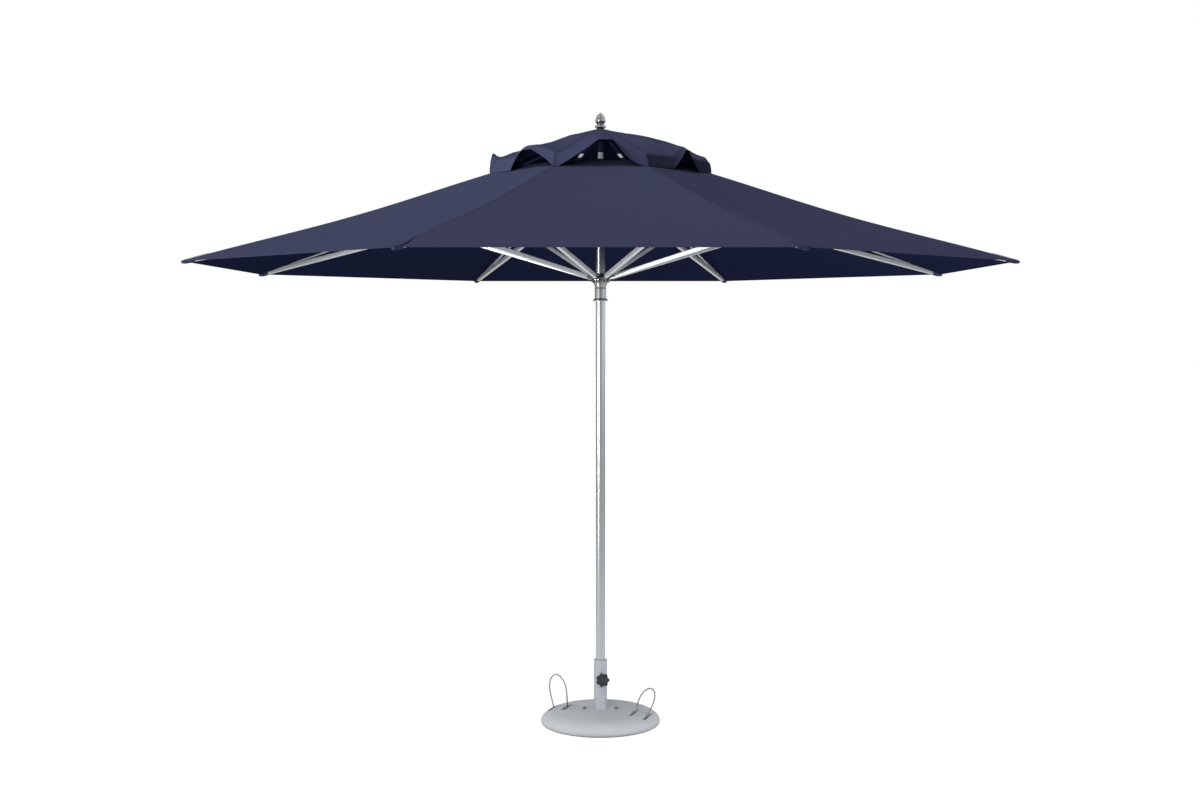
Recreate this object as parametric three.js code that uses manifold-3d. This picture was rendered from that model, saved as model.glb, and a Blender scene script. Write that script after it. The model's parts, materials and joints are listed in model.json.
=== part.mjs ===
// Octagonal market umbrella with a pocketed disc base. Millimetres, +Z up, origin on the floor under the mast.
import * as THREE from "three";
import { mergeVertices } from "three/addons/utils/BufferGeometryUtils.js";
import Module from "manifold-3d";

const wasm = await Module();
wasm.setup();

// ---------- Driving dimensions ----------
const SIDES = 8;
const SECTOR = (2 * Math.PI) / SIDES;
const FIRST_RIB = -Math.PI / 2 + SECTOR / 2;
const CLEARANCE = 0.3;
const RUNNING = 0.6;

// Folding linkage, in the radial plane of each rib
const PIVOT_R = 40;
const HUB_Z = 2628;
const RUNNER_Z = 2185;
const LINK_R = 817;
const RIB_SLOPE = THREE.MathUtils.degToRad(11.4);
const LINK_Z = (HUB_Z + RUNNER_Z) / 2;
const STRUT_LENGTH = Math.hypot(LINK_R - PIVOT_R, HUB_Z - LINK_Z);
const STRUT_SLOPE = Math.atan2(HUB_Z - LINK_Z, LINK_R - PIVOT_R);

const RIB_WIDTH = 20;
const RIB_HEIGHT = 25;
const RIB_LENGTH = 1947;
const RIB_PLANED = 125;
const BAR_WALL = 1.6;
const BATTEN_WIDTH = 12;
const BATTEN_HEIGHT = 7;
const BATTEN_DROP = 4.5;
const BATTEN_INNER_R = 472;
const BATTEN_OUTER_R = 1800;
const BATTEN_POST_R = [600, 1180];
const STRUT_WIDTH = 18;
const STRUT_HEIGHT = 22;
const TONGUE = 8;
const SLOT = 9.2;
const EYE_R = 3.4;
const RING_WIRE_R = 2;
const PIN_R = 2.8;
const RING_HOLE_R = 4.2;
const LUG_NOSE = 9;
const TONGUE_NOSE = 9;
const RUNNER_LATCH_Z = 2117;

// Canopy
const TIP_R = 2000;
const TIP_Z = 2234;
const APEX_Z = 2857;
const VENT_HOLE_R = 455;
const FABRIC = 1.5;
const RIDGE_SAG = 18;
const MID_SAG = 14;
const CAP_HOLE_R = 10;
const CAP_TOP_Z = 2919;
const CAP_SHOULDER_R = 548;
const CAP_SHOULDER_Z = 2740;
const CAP_CORNER_R = 572;
const CAP_CORNER_Z = 2684;
const CAP_ARCH_Z = 2786;
const SEAM_GAP = 0.5;

// Mast and crown
const POLE_R = 24;
const POLE_WALL = 2;
const POLE_BOTTOM_Z = 76;
const POLE_TOP_Z = 2644;
const CROWN_ROD_R = 13.5;
const CROWN_ROD_BOTTOM_Z = 2440;
const CROWN_ROD_TOP_Z = 2896;
const CROWN_HUB_R = 33;
const CROWN_HUB_TOP_Z = 2914;
const ARM_PIVOT_R = 24;
const ARM_PIVOT_Z = 2906;
const ARM_TIP_R = 548;
const ARM_SLOPE = Math.atan(0.3745);
const ARM_LENGTH = (ARM_TIP_R - ARM_PIVOT_R) / Math.cos(ARM_SLOPE);
const ARM_WIDTH = 18;
const ARM_THICKNESS = 6;
const ARM_PIN_R = 1.6;
const FINIAL_Z = 2925;
const TOTAL_HEIGHT = 3000;

// Base
const BASE_R = 292;
const BASE_UNDERSIDE_Z = 2;
const BASE_TOP_Z = 66;
const FOOT_RING_R = 268;
const FOOT_RING_WIDTH = 16;
const POCKET_R = 208;
const POCKET_AZIMUTH = THREE.MathUtils.degToRad(-20);
const POCKET_SLOT_OFFSET = 35;
const POCKET_SLOT_LENGTH = 140;
const POCKET_SLOT_WIDTH = 22;
const POCKET_FLOOR_Z = 34;
const BAIL_TUNNEL_R = 6.5;
const BAIL_PIVOT_Z = 44;
const BAIL_HEIGHT = 185;
const BAIL_WIRE_R = 2.5;
const PLATE_LENGTH = 190;
const PLATE_DEPTH = 84;
const PLATE_THICKNESS = 5;
const PLATE_BOLT_X = 78;
const SLEEVE_R = 32.5;
const SLEEVE_WALL = 2;
const SLEEVE_TOP_Z = 311;
const CLAMP_Z = 224;
const CLAMP_TURN = THREE.MathUtils.degToRad(10);
const KNOB_R = 34;
const KNOB_LOBES = 7;

const PLATE_TOP_Z = BASE_TOP_Z + CLEARANCE + PLATE_THICKNESS;
const SLEEVE_BOTTOM_Z = PLATE_TOP_Z + CLEARANCE;

// ---------- Materials ----------
function finish(color, roughness, metalness) {
  return new THREE.MeshStandardMaterial({ color, roughness, metalness });
}

const FINISH = {
  casting: finish(0xb8bcc4, 0.7, 0),
  steelPaint: finish(0xa9b2ba, 0.45, 0.3),
  zinc: finish(0x9a9da0, 0.4, 0.9),
  anodised: finish(0xc4ccd0, 0.3, 0.9),
  chrome: finish(0xd0d0d0, 0.12, 1),
  nylon: finish(0x24282c, 0.5, 0),
  paleNylon: finish(0x9ba1a6, 0.5, 0),
  rubber: finish(0x1c1c1e, 0.8, 0),
  fabric: finish(0x2a2a48, 0.9, 0),
};

// ---------- Solids ----------
function toSolid(geometry) {
  const bare = geometry.clone();
  for (const name of Object.keys(bare.attributes)) {
    if (name !== "position") bare.deleteAttribute(name);
  }
  const merged = mergeVertices(bare, 1e-4);
  const solid = new wasm.Manifold(
    new wasm.Mesh({
      numProp: 3,
      vertProperties: new Float32Array(merged.attributes.position.array),
      triVerts: new Uint32Array(merged.index.array),
    }),
  );
  return solid;
}

function toGeometry(solid) {
  const mesh = solid.getMesh();
  const geometry = new THREE.BufferGeometry();
  geometry.setAttribute("position", new THREE.BufferAttribute(mesh.vertProperties, 3));
  geometry.setIndex(new THREE.BufferAttribute(mesh.triVerts, 1));
  geometry.computeVertexNormals();
  return geometry;
}

function union(first, ...others) {
  return others.reduce((sum, other) => sum.add(other), first);
}

function cut(first, ...others) {
  return others.reduce((rest, other) => rest.subtract(other), first);
}

// A profile of [radius, z] pairs, outside first and upwards, turned about Z.
function turned(profile, segments = 32) {
  const points = profile.map(([r, z]) => new THREE.Vector2(r, z));
  return new THREE.LatheGeometry(points, segments).rotateX(Math.PI / 2);
}

// A tube or ring about Z with a closed rectangular section.
function ring(inner, outer, low, high, segments = 32) {
  return turned([[inner, low], [outer, low], [outer, high], [inner, high], [inner, low]], segments);
}

function rod(radius, low, high, segments = 24) {
  return turned([[0, low], [radius, low], [radius, high], [0, high]], segments);
}

// A cylinder along Y, centred on the origin.
function crossPin(radius, length, segments = 16) {
  return new THREE.CylinderGeometry(radius, radius, length, segments);
}

function block(x0, x1, y0, y1, z0, z1) {
  const box = new THREE.BoxGeometry(x1 - x0, y1 - y0, z1 - z0);
  return box.translate((x0 + x1) / 2, (y0 + y1) / 2, (z0 + z1) / 2);
}

// A shape drawn in X and Z, given thickness along Y about y = 0.
function sidePlate(shape, thickness, curveSegments = 3) {
  const plate = new THREE.ExtrudeGeometry(shape, { depth: thickness, bevelEnabled: false, curveSegments });
  return plate.translate(0, 0, -thickness / 2).rotateX(Math.PI / 2);
}

// A shape drawn in Y and Z, run along X.
function alongX(shape, x0, x1) {
  const bar = new THREE.ExtrudeGeometry(shape, { depth: x1 - x0, bevelEnabled: false, curveSegments: 4 });
  bar.rotateX(Math.PI / 2);
  bar.rotateZ(Math.PI / 2);
  return bar.translate(x0, 0, 0);
}

function chamferedRectangle(width, height, chamfer) {
  const w = width / 2;
  const h = height / 2;
  const shape = new THREE.Shape();
  shape.moveTo(-w + chamfer, -h);
  shape.lineTo(w - chamfer, -h);
  shape.lineTo(w, -h + chamfer);
  shape.lineTo(w, h - chamfer);
  shape.lineTo(w - chamfer, h);
  shape.lineTo(-w + chamfer, h);
  shape.lineTo(-w, h - chamfer);
  shape.lineTo(-w, -h + chamfer);
  return shape;
}

// A flat bar end with a round nose about the origin, reaching to x = length.
function tongueShape(radius, length) {
  const shape = new THREE.Shape();
  shape.moveTo(0, -radius);
  shape.lineTo(length, -radius);
  shape.lineTo(length, radius);
  shape.lineTo(0, radius);
  shape.absarc(0, 0, radius, Math.PI / 2, (3 * Math.PI) / 2, false);
  return shape;
}

// A thin cloth through a grid of points, its other face set back along the normals.
// A wrapped grid joins its last column to its first.
function sheet(grid, thickness, wrapped = false) {
  const rows = grid.length;
  const columns = grid[0].length;
  const column = (j) => (wrapped ? (j + columns) % columns : Math.min(Math.max(j, 0), columns - 1));
  const at = (i, j) => grid[Math.min(Math.max(i, 0), rows - 1)][column(j)];
  const positions = [];
  const back = [];
  for (let i = 0; i < rows; i++) {
    for (let j = 0; j < columns; j++) {
      const p = at(i, j);
      const down = at(i + 1, j).clone().sub(at(i - 1, j));
      const across = at(i, j + 1).clone().sub(at(i, j - 1));
      const normal = down.cross(across).normalize();
      positions.push(p.x, p.y, p.z);
      back.push(...p.clone().addScaledVector(normal, -thickness).toArray());
    }
  }
  const count = rows * columns;
  const index = [];
  const quad = (a, b, c, d) => index.push(a, b, c, a, c, d);
  const lastColumn = wrapped ? columns : columns - 1;
  for (let i = 0; i + 1 < rows; i++) {
    for (let j = 0; j < lastColumn; j++) {
      const a = i * columns + j;
      const b = i * columns + column(j + 1);
      quad(a, a + columns, b + columns, b);
      quad(count + a, count + b, count + b + columns, count + a + columns);
    }
  }
  const edge = (a, b) => quad(a, b, count + b, count + a);
  for (let j = 0; j < lastColumn; j++) {
    const last = (rows - 1) * columns;
    edge(j, column(j + 1));
    edge(last + column(j + 1), last + j);
  }
  for (let i = 0; i + 1 < rows && !wrapped; i++) {
    edge((i + 1) * columns, i * columns);
    edge(i * columns + columns - 1, (i + 1) * columns + columns - 1);
  }
  const geometry = new THREE.BufferGeometry();
  geometry.setAttribute("position", new THREE.Float32BufferAttribute([...positions, ...back], 3));
  geometry.setIndex(index);
  return geometry;
}

function named(name, shape, material) {
  const geometry = shape.isBufferGeometry ? shape : toGeometry(shape);
  const mesh = new THREE.Mesh(geometry, material);
  mesh.name = name;
  return mesh;
}

// ---------- Base ----------
function baseProfile() {
  const side = new THREE.CubicBezierCurve(
    new THREE.Vector2(BASE_R, 16),
    new THREE.Vector2(BASE_R, 34),
    new THREE.Vector2(268, 52),
    new THREE.Vector2(238, 60),
  );
  const crown = new THREE.CubicBezierCurve(
    new THREE.Vector2(238, 60),
    new THREE.Vector2(216, 65.5),
    new THREE.Vector2(190, BASE_TOP_Z),
    new THREE.Vector2(165, BASE_TOP_Z),
  );
  const toe = new THREE.CubicBezierCurve(
    new THREE.Vector2(BASE_R - 11, BASE_UNDERSIDE_Z),
    new THREE.Vector2(BASE_R - 4, BASE_UNDERSIDE_Z + 1),
    new THREE.Vector2(BASE_R, 8),
    new THREE.Vector2(BASE_R, 16),
  );
  const curved = [toe.getPoints(3), side.getPoints(4).slice(1), crown.getPoints(2).slice(1)].flat();
  const grooveIn = FOOT_RING_R - FOOT_RING_WIDTH / 2 - CLEARANCE;
  const grooveOut = FOOT_RING_R + FOOT_RING_WIDTH / 2 + CLEARANCE;
  return [
    [0, BASE_UNDERSIDE_Z],
    [grooveIn, BASE_UNDERSIDE_Z],
    [grooveIn, BASE_UNDERSIDE_Z + 4],
    [grooveOut, BASE_UNDERSIDE_Z + 4],
    [grooveOut, BASE_UNDERSIDE_Z],
    ...curved.map((p) => [p.x, p.y]),
    [0, BASE_TOP_Z],
  ];
}

// The pocket in its own frame: X runs outwards from the mast and Y along the slots.
function pocketCutters() {
  const half = POCKET_SLOT_WIDTH / 2;
  const reach = POCKET_SLOT_LENGTH / 2 - half;
  const slot = new THREE.Shape();
  slot.moveTo(half, -reach);
  slot.lineTo(half, reach);
  slot.absarc(0, reach, half, 0, Math.PI, false);
  slot.lineTo(-half, -reach);
  slot.absarc(0, -reach, half, Math.PI, 2 * Math.PI, false);
  const depth = BASE_TOP_Z - POCKET_FLOOR_Z + 4;
  const cutter = () => new THREE.ExtrudeGeometry(slot, { depth, bevelEnabled: false, curveSegments: 3 });
  const inner = toSolid(cutter().translate(-POCKET_SLOT_OFFSET, 0, POCKET_FLOOR_Z));
  const outer = toSolid(cutter().translate(POCKET_SLOT_OFFSET, 0, POCKET_FLOOR_Z));
  const tunnel = toSolid(
    crossPin(BAIL_TUNNEL_R, 2 * POCKET_SLOT_OFFSET, 8).rotateZ(Math.PI / 2).translate(0, 0, BAIL_PIVOT_Z),
  );
  return union(inner, outer, tunnel);
}

function baseBody() {
  let body = toSolid(turned(baseProfile(), 40));
  for (const azimuth of [POCKET_AZIMUTH, POCKET_AZIMUTH + Math.PI]) {
    const degrees = THREE.MathUtils.radToDeg(azimuth);
    body = body.subtract(pocketCutters().translate([POCKET_R, 0, 0]).rotate([0, 0, degrees]));
  }
  return body;
}

function footRing() {
  const half = FOOT_RING_WIDTH / 2;
  return ring(FOOT_RING_R - half, FOOT_RING_R + half, 0, BASE_UNDERSIDE_Z + 4 - CLEARANCE, 40);
}

function flangePlate() {
  const x = PLATE_LENGTH / 2;
  const y = PLATE_DEPTH / 2;
  const corner = 10;
  const outline = new THREE.Shape();
  outline.moveTo(-x + corner, -y);
  outline.lineTo(x - corner, -y);
  outline.absarc(x - corner, -y + corner, corner, -Math.PI / 2, 0, false);
  outline.lineTo(x, y - corner);
  outline.absarc(x - corner, y - corner, corner, 0, Math.PI / 2, false);
  outline.lineTo(-x + corner, y);
  outline.absarc(-x + corner, y - corner, corner, Math.PI / 2, Math.PI, false);
  outline.lineTo(-x, -y + corner);
  outline.absarc(-x + corner, -y + corner, corner, Math.PI, 1.5 * Math.PI, false);
  const low = BASE_TOP_Z + CLEARANCE;
  const plate = new THREE.ExtrudeGeometry(outline, {
    depth: PLATE_THICKNESS,
    bevelEnabled: false,
    curveSegments: 4,
  });
  const weldIn = SLEEVE_R + CLEARANCE;
  const weld = turned(
    [
      [weldIn, PLATE_TOP_Z - 1],
      [weldIn + 6, PLATE_TOP_Z - 1],
      [weldIn + 4.5, PLATE_TOP_Z + 2.5],
      [weldIn, PLATE_TOP_Z + 5],
      [weldIn, PLATE_TOP_Z - 1],
    ],
    24,
  );
  return union(toSolid(plate.translate(0, 0, low)), toSolid(weld));
}

// A hexagon-headed bolt with a washer, standing on the plate.
function plateBolt() {
  const washer = toSolid(rod(12, 0, 2));
  const head = toSolid(rod(8.5, 1, 8, 6));
  const stub = toSolid(rod(5, 7, 12, 12));
  return union(washer, head, stub);
}

function sleeveTube() {
  const tube = toSolid(ring(SLEEVE_R - SLEEVE_WALL, SLEEVE_R, SLEEVE_BOTTOM_Z, SLEEVE_TOP_Z, 28));
  const hole = toSolid(crossPin(5.8, 30, 12).translate(0, -SLEEVE_R, CLAMP_Z).rotateZ(CLAMP_TURN));
  return tube.subtract(hole);
}

function sleeveFootBush() {
  return ring(
    POLE_R + CLEARANCE,
    SLEEVE_R - SLEEVE_WALL - CLEARANCE,
    SLEEVE_BOTTOM_Z + CLEARANCE,
    SLEEVE_BOTTOM_Z + 26,
    28,
  );
}

function sleeveTopBush() {
  const inner = POLE_R + CLEARANCE;
  const outer = SLEEVE_R - SLEEVE_WALL - CLEARANCE;
  const seat = SLEEVE_TOP_Z + CLEARANCE;
  return turned(
    [
      [inner, SLEEVE_TOP_Z - 34],
      [outer, SLEEVE_TOP_Z - 34],
      [outer, seat],
      [SLEEVE_R, seat],
      [SLEEVE_R, seat + 1.5],
      [SLEEVE_R - 1, seat + 2.5],
      [inner, seat + 2.5],
      [inner, SLEEVE_TOP_Z - 34],
    ],
    24,
  );
}

// Clamp pieces are drawn with the screw's axis along -Y at the clamp's height.
function clampBoss() {
  const boss = toSolid(crossPin(10.5, 18, 20).translate(0, -SLEEVE_R - 4, 0));
  const tube = toSolid(rod(SLEEVE_R + CLEARANCE, -20, 20, 32));
  const bore = toSolid(crossPin(5.3, 60).translate(0, -SLEEVE_R - 4, 0));
  return cut(boss, tube, bore);
}

function clampStud() {
  const tip = POLE_R + CLEARANCE;
  const end = 62;
  return crossPin(5, end - tip, 12).translate(0, -(end + tip) / 2, 0);
}

function clampKnob() {
  const star = new THREE.Shape();
  const steps = KNOB_LOBES * 6;
  for (let i = 0; i <= steps; i++) {
    const angle = (2 * Math.PI * i) / steps;
    const wave = (1 + Math.cos(KNOB_LOBES * angle)) / 2;
    const radius = KNOB_R * (0.8 + 0.2 * Math.pow(wave, 0.8)) - 2;
    const x = radius * Math.cos(angle);
    const y = radius * Math.sin(angle);
    if (i === 0) star.moveTo(x, y);
    else if (i < steps) star.lineTo(x, y);
  }
  const head = new THREE.ExtrudeGeometry(star, {
    depth: 16,
    bevelEnabled: true,
    bevelThickness: 3,
    bevelSize: 2,
    bevelSegments: 1,
  });
  head.rotateX(Math.PI / 2).translate(0, -53, 0);
  const neck = crossPin(13, 8, 18).translate(0, -50, 0);
  const bore = crossPin(5.3, 32).translate(0, -62 + 16 - CLEARANCE, 0);
  return cut(union(toSolid(head), toSolid(neck)), toSolid(bore));
}

// A bent wire loop in the XZ plane, its ends meeting in the middle of the lower bar.
function bail() {
  const gap = 0.4;
  const wide = POCKET_SLOT_OFFSET;
  const side = [
    [wide - 8, 0],
    [wide - 1, 5],
    [wide + 2, 22],
    [wide + 6, 60],
    [wide + 9, 98],
    [wide + 4, 138],
    [wide - 15, 172],
  ];
  const points = [
    [gap, 0],
    ...side,
    [0, BAIL_HEIGHT],
    ...side.map(([u, v]) => [-u, v]).reverse(),
    [-gap, 0],
  ].map(([u, v]) => new THREE.Vector3(u, 0, v));
  const path = new THREE.CatmullRomCurve3(points, false, "centripetal");
  const section = new THREE.Shape().absarc(0, 0, BAIL_WIRE_R, 0, 2 * Math.PI, false);
  return new THREE.ExtrudeGeometry(section, { steps: 32, extrudePath: path, curveSegments: 3 });
}

// ---------- Mast and crown ----------
function mastPole() {
  return ring(POLE_R - POLE_WALL, POLE_R, POLE_BOTTOM_Z, POLE_TOP_Z, 28);
}

function poleFootPlug() {
  const low = PLATE_TOP_Z + CLEARANCE;
  const flange = POLE_BOTTOM_Z - CLEARANCE;
  const spigot = POLE_R - POLE_WALL - CLEARANCE;
  return turned(
    [[0, low], [POLE_R - 1.5, low], [POLE_R, low + 1.5], [POLE_R, flange], [spigot, flange], [spigot, 96], [0, 96]],
    24,
  );
}

function poleTopBush() {
  const inner = CROWN_ROD_R + CLEARANCE;
  const outer = POLE_R - POLE_WALL - CLEARANCE;
  const seat = POLE_TOP_Z + CLEARANCE;
  return turned(
    [
      [inner, POLE_TOP_Z - 60],
      [outer, POLE_TOP_Z - 60],
      [outer, seat],
      [POLE_R, seat],
      [POLE_R, seat + 4],
      [inner, seat + 4],
      [inner, POLE_TOP_Z - 60],
    ],
    24,
  );
}

function crownRod() {
  return ring(CROWN_ROD_R - 2, CROWN_ROD_R, CROWN_ROD_BOTTOM_Z, CROWN_ROD_TOP_Z, 20);
}

// The slotted disc on the crown rod that holds the eight vent arms.
function crownHub() {
  const spigot = CROWN_ROD_R - 2 - CLEARANCE;
  const low = CROWN_ROD_TOP_Z + CLEARANCE;
  const disc = toSolid(
    turned(
      [
        [0, low - 20],
        [spigot, low - 20],
        [spigot, low],
        [CROWN_HUB_R, low],
        [CROWN_HUB_R, CROWN_HUB_TOP_Z - 5],
        [20, CROWN_HUB_TOP_Z],
        [0, CROWN_HUB_TOP_Z],
      ],
      24,
    ),
  );
  const cutters = [];
  for (let k = 0; k < SIDES; k++) {
    const azimuth = FIRST_RIB + k * SECTOR;
    const slot = block(ARM_PIVOT_R - 7, 40, -3.6, 3.6, low - 1, CROWN_HUB_TOP_Z + 1);
    const seat = crossPin(ARM_PIN_R + 2 * CLEARANCE, 13, 6).translate(ARM_PIVOT_R, 0, ARM_PIVOT_Z);
    cutters.push(toSolid(slot.rotateZ(azimuth)), toSolid(seat.rotateZ(azimuth)));
  }
  return cut(disc, ...cutters);
}

// A vent arm lies along +X from its pivot: a flat strip with a tongue that carries its own pin.
function ventArm() {
  const strip = toSolid(alongX(chamferedRectangle(ARM_WIDTH, ARM_THICKNESS, 1.5), 24, ARM_LENGTH - 4));
  const width = ARM_WIDTH / 2 + 1.5;
  const height = ARM_THICKNESS / 2 + 1.5;
  const toe = toSolid(block(ARM_LENGTH - 30, ARM_LENGTH, -width, width, -height, height));
  const tongue = toSolid(sidePlate(tongueShape(4.5, 30), 6));
  const pin = toSolid(crossPin(ARM_PIN_R, 12, 6));
  return union(strip, toe, tongue, pin);
}

function capWasher() {
  const low = CAP_TOP_Z + CLEARANCE;
  const high = FINIAL_Z - CLEARANCE;
  return turned([[0, low], [20, low], [20, low + 2], [16, high], [0, high]], 24);
}

function finial() {
  const z = FINIAL_Z;
  const top = TOTAL_HEIGHT;
  const skirt = new THREE.CubicBezierCurve(
    new THREE.Vector2(28.5, z + 3),
    new THREE.Vector2(28, z + 11),
    new THREE.Vector2(20, z + 12),
    new THREE.Vector2(16, z + 16),
  );
  const bulb = new THREE.CubicBezierCurve(
    new THREE.Vector2(16, z + 17),
    new THREE.Vector2(26, z + 20),
    new THREE.Vector2(30, z + 40),
    new THREE.Vector2(20.5, z + 44),
  );
  const acorn = new THREE.CubicBezierCurve(
    new THREE.Vector2(22, z + 46),
    new THREE.Vector2(22, z + 60),
    new THREE.Vector2(8, z + 66),
    new THREE.Vector2(0, top),
  );
  const curved = [skirt.getPoints(3), bulb.getPoints(5), acorn.getPoints(4)].flat();
  return turned([[0, z], [28, z], ...curved.map((p) => [p.x, p.y])], 20);
}

// ---------- Hub and runner ----------
// Eight clevis lugs about the pivot circle, for a disc of coreRadius whose faces are at low and high.
function clevisLugs(coreRadius, low, high, width) {
  const nose = PIVOT_R + LUG_NOSE;
  const lug = () => {
    const shape = new THREE.Shape();
    shape.moveTo(coreRadius - 3, low + 0.5);
    shape.lineTo(PIVOT_R + 1, low + 1);
    shape.lineTo(nose, low / 2);
    shape.lineTo(nose, high / 2);
    shape.lineTo(PIVOT_R + 5, high - 0.5);
    shape.lineTo(coreRadius - 3, high - 0.5);
    return sidePlate(shape, width);
  };
  const slotEnd = PIVOT_R - TONGUE_NOSE - CLEARANCE;
  const slot = () => block(slotEnd, nose + 10, -SLOT / 2, SLOT / 2, low - 1, high + 1);
  const hole = () => crossPin(RING_HOLE_R, width + 2, 6).translate(PIVOT_R, 0, 0);
  const lugs = [];
  const cutters = [];
  for (let k = 0; k < SIDES; k++) {
    const azimuth = FIRST_RIB + k * SECTOR;
    lugs.push(toSolid(lug().rotateZ(azimuth)));
    cutters.push(toSolid(slot().rotateZ(azimuth)), toSolid(hole().rotateZ(azimuth)));
  }
  return { lugs, cutters };
}

function hubBody() {
  const { lugs, cutters } = clevisLugs(34, -11, 11, 19);
  const bore = POLE_R + CLEARANCE;
  const top = POLE_TOP_Z - HUB_Z;
  const core = turned(
    [
      [bore, -23],
      [26.5, -23],
      [27.5, -21.5],
      [27.5, -13],
      [34, -11],
      [34, 11],
      [31, 14],
      [28, top],
      [bore, top],
      [bore, -23],
    ],
    28,
  );
  return cut(union(toSolid(core), ...lugs), ...cutters);
}

function runnerBody() {
  const { lugs, cutters } = clevisLugs(34, -24, 8, 19);
  const bore = POLE_R + RUNNING;
  const core = turned(
    [
      [bore, -113],
      [35, -113],
      [36.5, -111.5],
      [36.5, -106],
      [33, -103],
      [29, -101],
      [29, -50],
      [27.6, -48.5],
      [27.6, -44],
      [29, -42.5],
      [29, -36],
      [34, -31],
      [34, 8],
      [bore, 8],
      [bore, -113],
    ],
    28,
  );
  const button = toSolid(crossPin(7.2, 20, 12).translate(0, 33, RUNNER_LATCH_Z - RUNNER_Z));
  return cut(union(toSolid(core), ...lugs), ...cutters, button);
}

function runnerBush() {
  return turned(
    [
      [POLE_R + RUNNING, 8 + CLEARANCE],
      [28, 8 + CLEARANCE],
      [28, 17],
      [26.5, 22],
      [POLE_R + RUNNING, 24],
      [POLE_R + RUNNING, 8 + CLEARANCE],
    ],
    28,
  );
}

function pivotRing() {
  return new THREE.TorusGeometry(PIVOT_R, RING_WIRE_R, 5, 24);
}

function latchButton() {
  return crossPin(6.9, 6, 12).translate(0, POLE_R + RUNNING + 2.7 + 3, 0);
}

// ---------- Ribs and struts ----------
// A rib lies along +X from its pivot: a hollow bar with a tongue at its foot and a batten held above it. Its
// far end is planed to slip into the canopy's pocket, and stays open.
function rib() {
  const start = 26;
  const planed = (height, overrun) => {
    const shape = new THREE.Shape();
    shape.moveTo(start + (overrun > 0 ? 14 : 0), -height);
    shape.lineTo(RIB_LENGTH + overrun, -height);
    shape.lineTo(RIB_LENGTH + overrun, height - 12);
    shape.lineTo(RIB_LENGTH - RIB_PLANED, height);
    shape.lineTo(start + (overrun > 0 ? 14 : 0), height);
    return shape;
  };
  const half = RIB_HEIGHT / 2;
  const bar = toSolid(alongX(chamferedRectangle(RIB_WIDTH, RIB_HEIGHT, 4), start, RIB_LENGTH));
  const outside = bar.intersect(toSolid(sidePlate(planed(half, 0), RIB_WIDTH + 4)));
  const inside = toSolid(sidePlate(planed(half - BAR_WALL, 6), RIB_WIDTH - 2 * BAR_WALL - 4));
  const foot = toSolid(sidePlate(tongueShape(TONGUE_NOSE, start + 12), TONGUE));
  const eye = toSolid(crossPin(EYE_R, 30, 6));
  const link = inRibFrame(LINK_R, LINK_Z);
  const bracket = ribBracket().translate([link.x, 0, 0]);
  const linkEye = toSolid(crossPin(PIN_R + 2 * CLEARANCE, 30, 6).translate(link.x, 0, link.y));
  return cut(union(outside, foot, bracket, ridgeBatten(), ...battenPosts()), inside, eye, linkEye);
}

// A point of the radial plane, given by its radius and height, in the rib's own frame.
function inRibFrame(radius, height) {
  const x = radius - PIVOT_R;
  const z = height - HUB_Z;
  return new THREE.Vector2(
    x * Math.cos(RIB_SLOPE) - z * Math.sin(RIB_SLOPE),
    x * Math.sin(RIB_SLOPE) + z * Math.cos(RIB_SLOPE),
  );
}

// The flat batten under the cloth's ridge: it leaves the rib near the tip and runs up to the vent.
function ridgeBatten() {
  const steps = 8;
  const edge = (drop) =>
    Array.from({ length: steps + 1 }, (_, i) => {
      const radius = THREE.MathUtils.lerp(BATTEN_INNER_R, BATTEN_OUTER_R, i / steps);
      return inRibFrame(radius, ridgeHeight(radius) - drop);
    });
  const outline = [...edge(BATTEN_DROP + BATTEN_HEIGHT), ...edge(BATTEN_DROP).reverse()];
  return toSolid(sidePlate(new THREE.Shape(outline), BATTEN_WIDTH));
}

function battenPosts() {
  return BATTEN_POST_R.map((radius) => {
    const top = inRibFrame(radius, ridgeHeight(radius) - BATTEN_DROP - BATTEN_HEIGHT / 2);
    return toSolid(block(top.x - 5, top.x + 5, -4, 4, RIB_HEIGHT / 2 - 1, top.y));
  });
}

// The saddle round the rib with the tab that the strut's fork straddles.
function ribBracket() {
  const link = inRibFrame(LINK_R, LINK_Z);
  const y = RIB_WIDTH / 2 + 2;
  const z = RIB_HEIGHT / 2 + 2;
  const saddle = toSolid(block(-32, 32, -y, y, -z, z));
  const tab = new THREE.Shape();
  tab.moveTo(-26, -RIB_HEIGHT / 2);
  tab.lineTo(-10, link.y + 12);
  tab.lineTo(-10, link.y);
  tab.absarc(0, link.y, 10, Math.PI, 2 * Math.PI, false);
  tab.lineTo(10, link.y + 12);
  tab.lineTo(26, -RIB_HEIGHT / 2);
  return saddle.add(toSolid(sidePlate(tab, TONGUE)));
}

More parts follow.
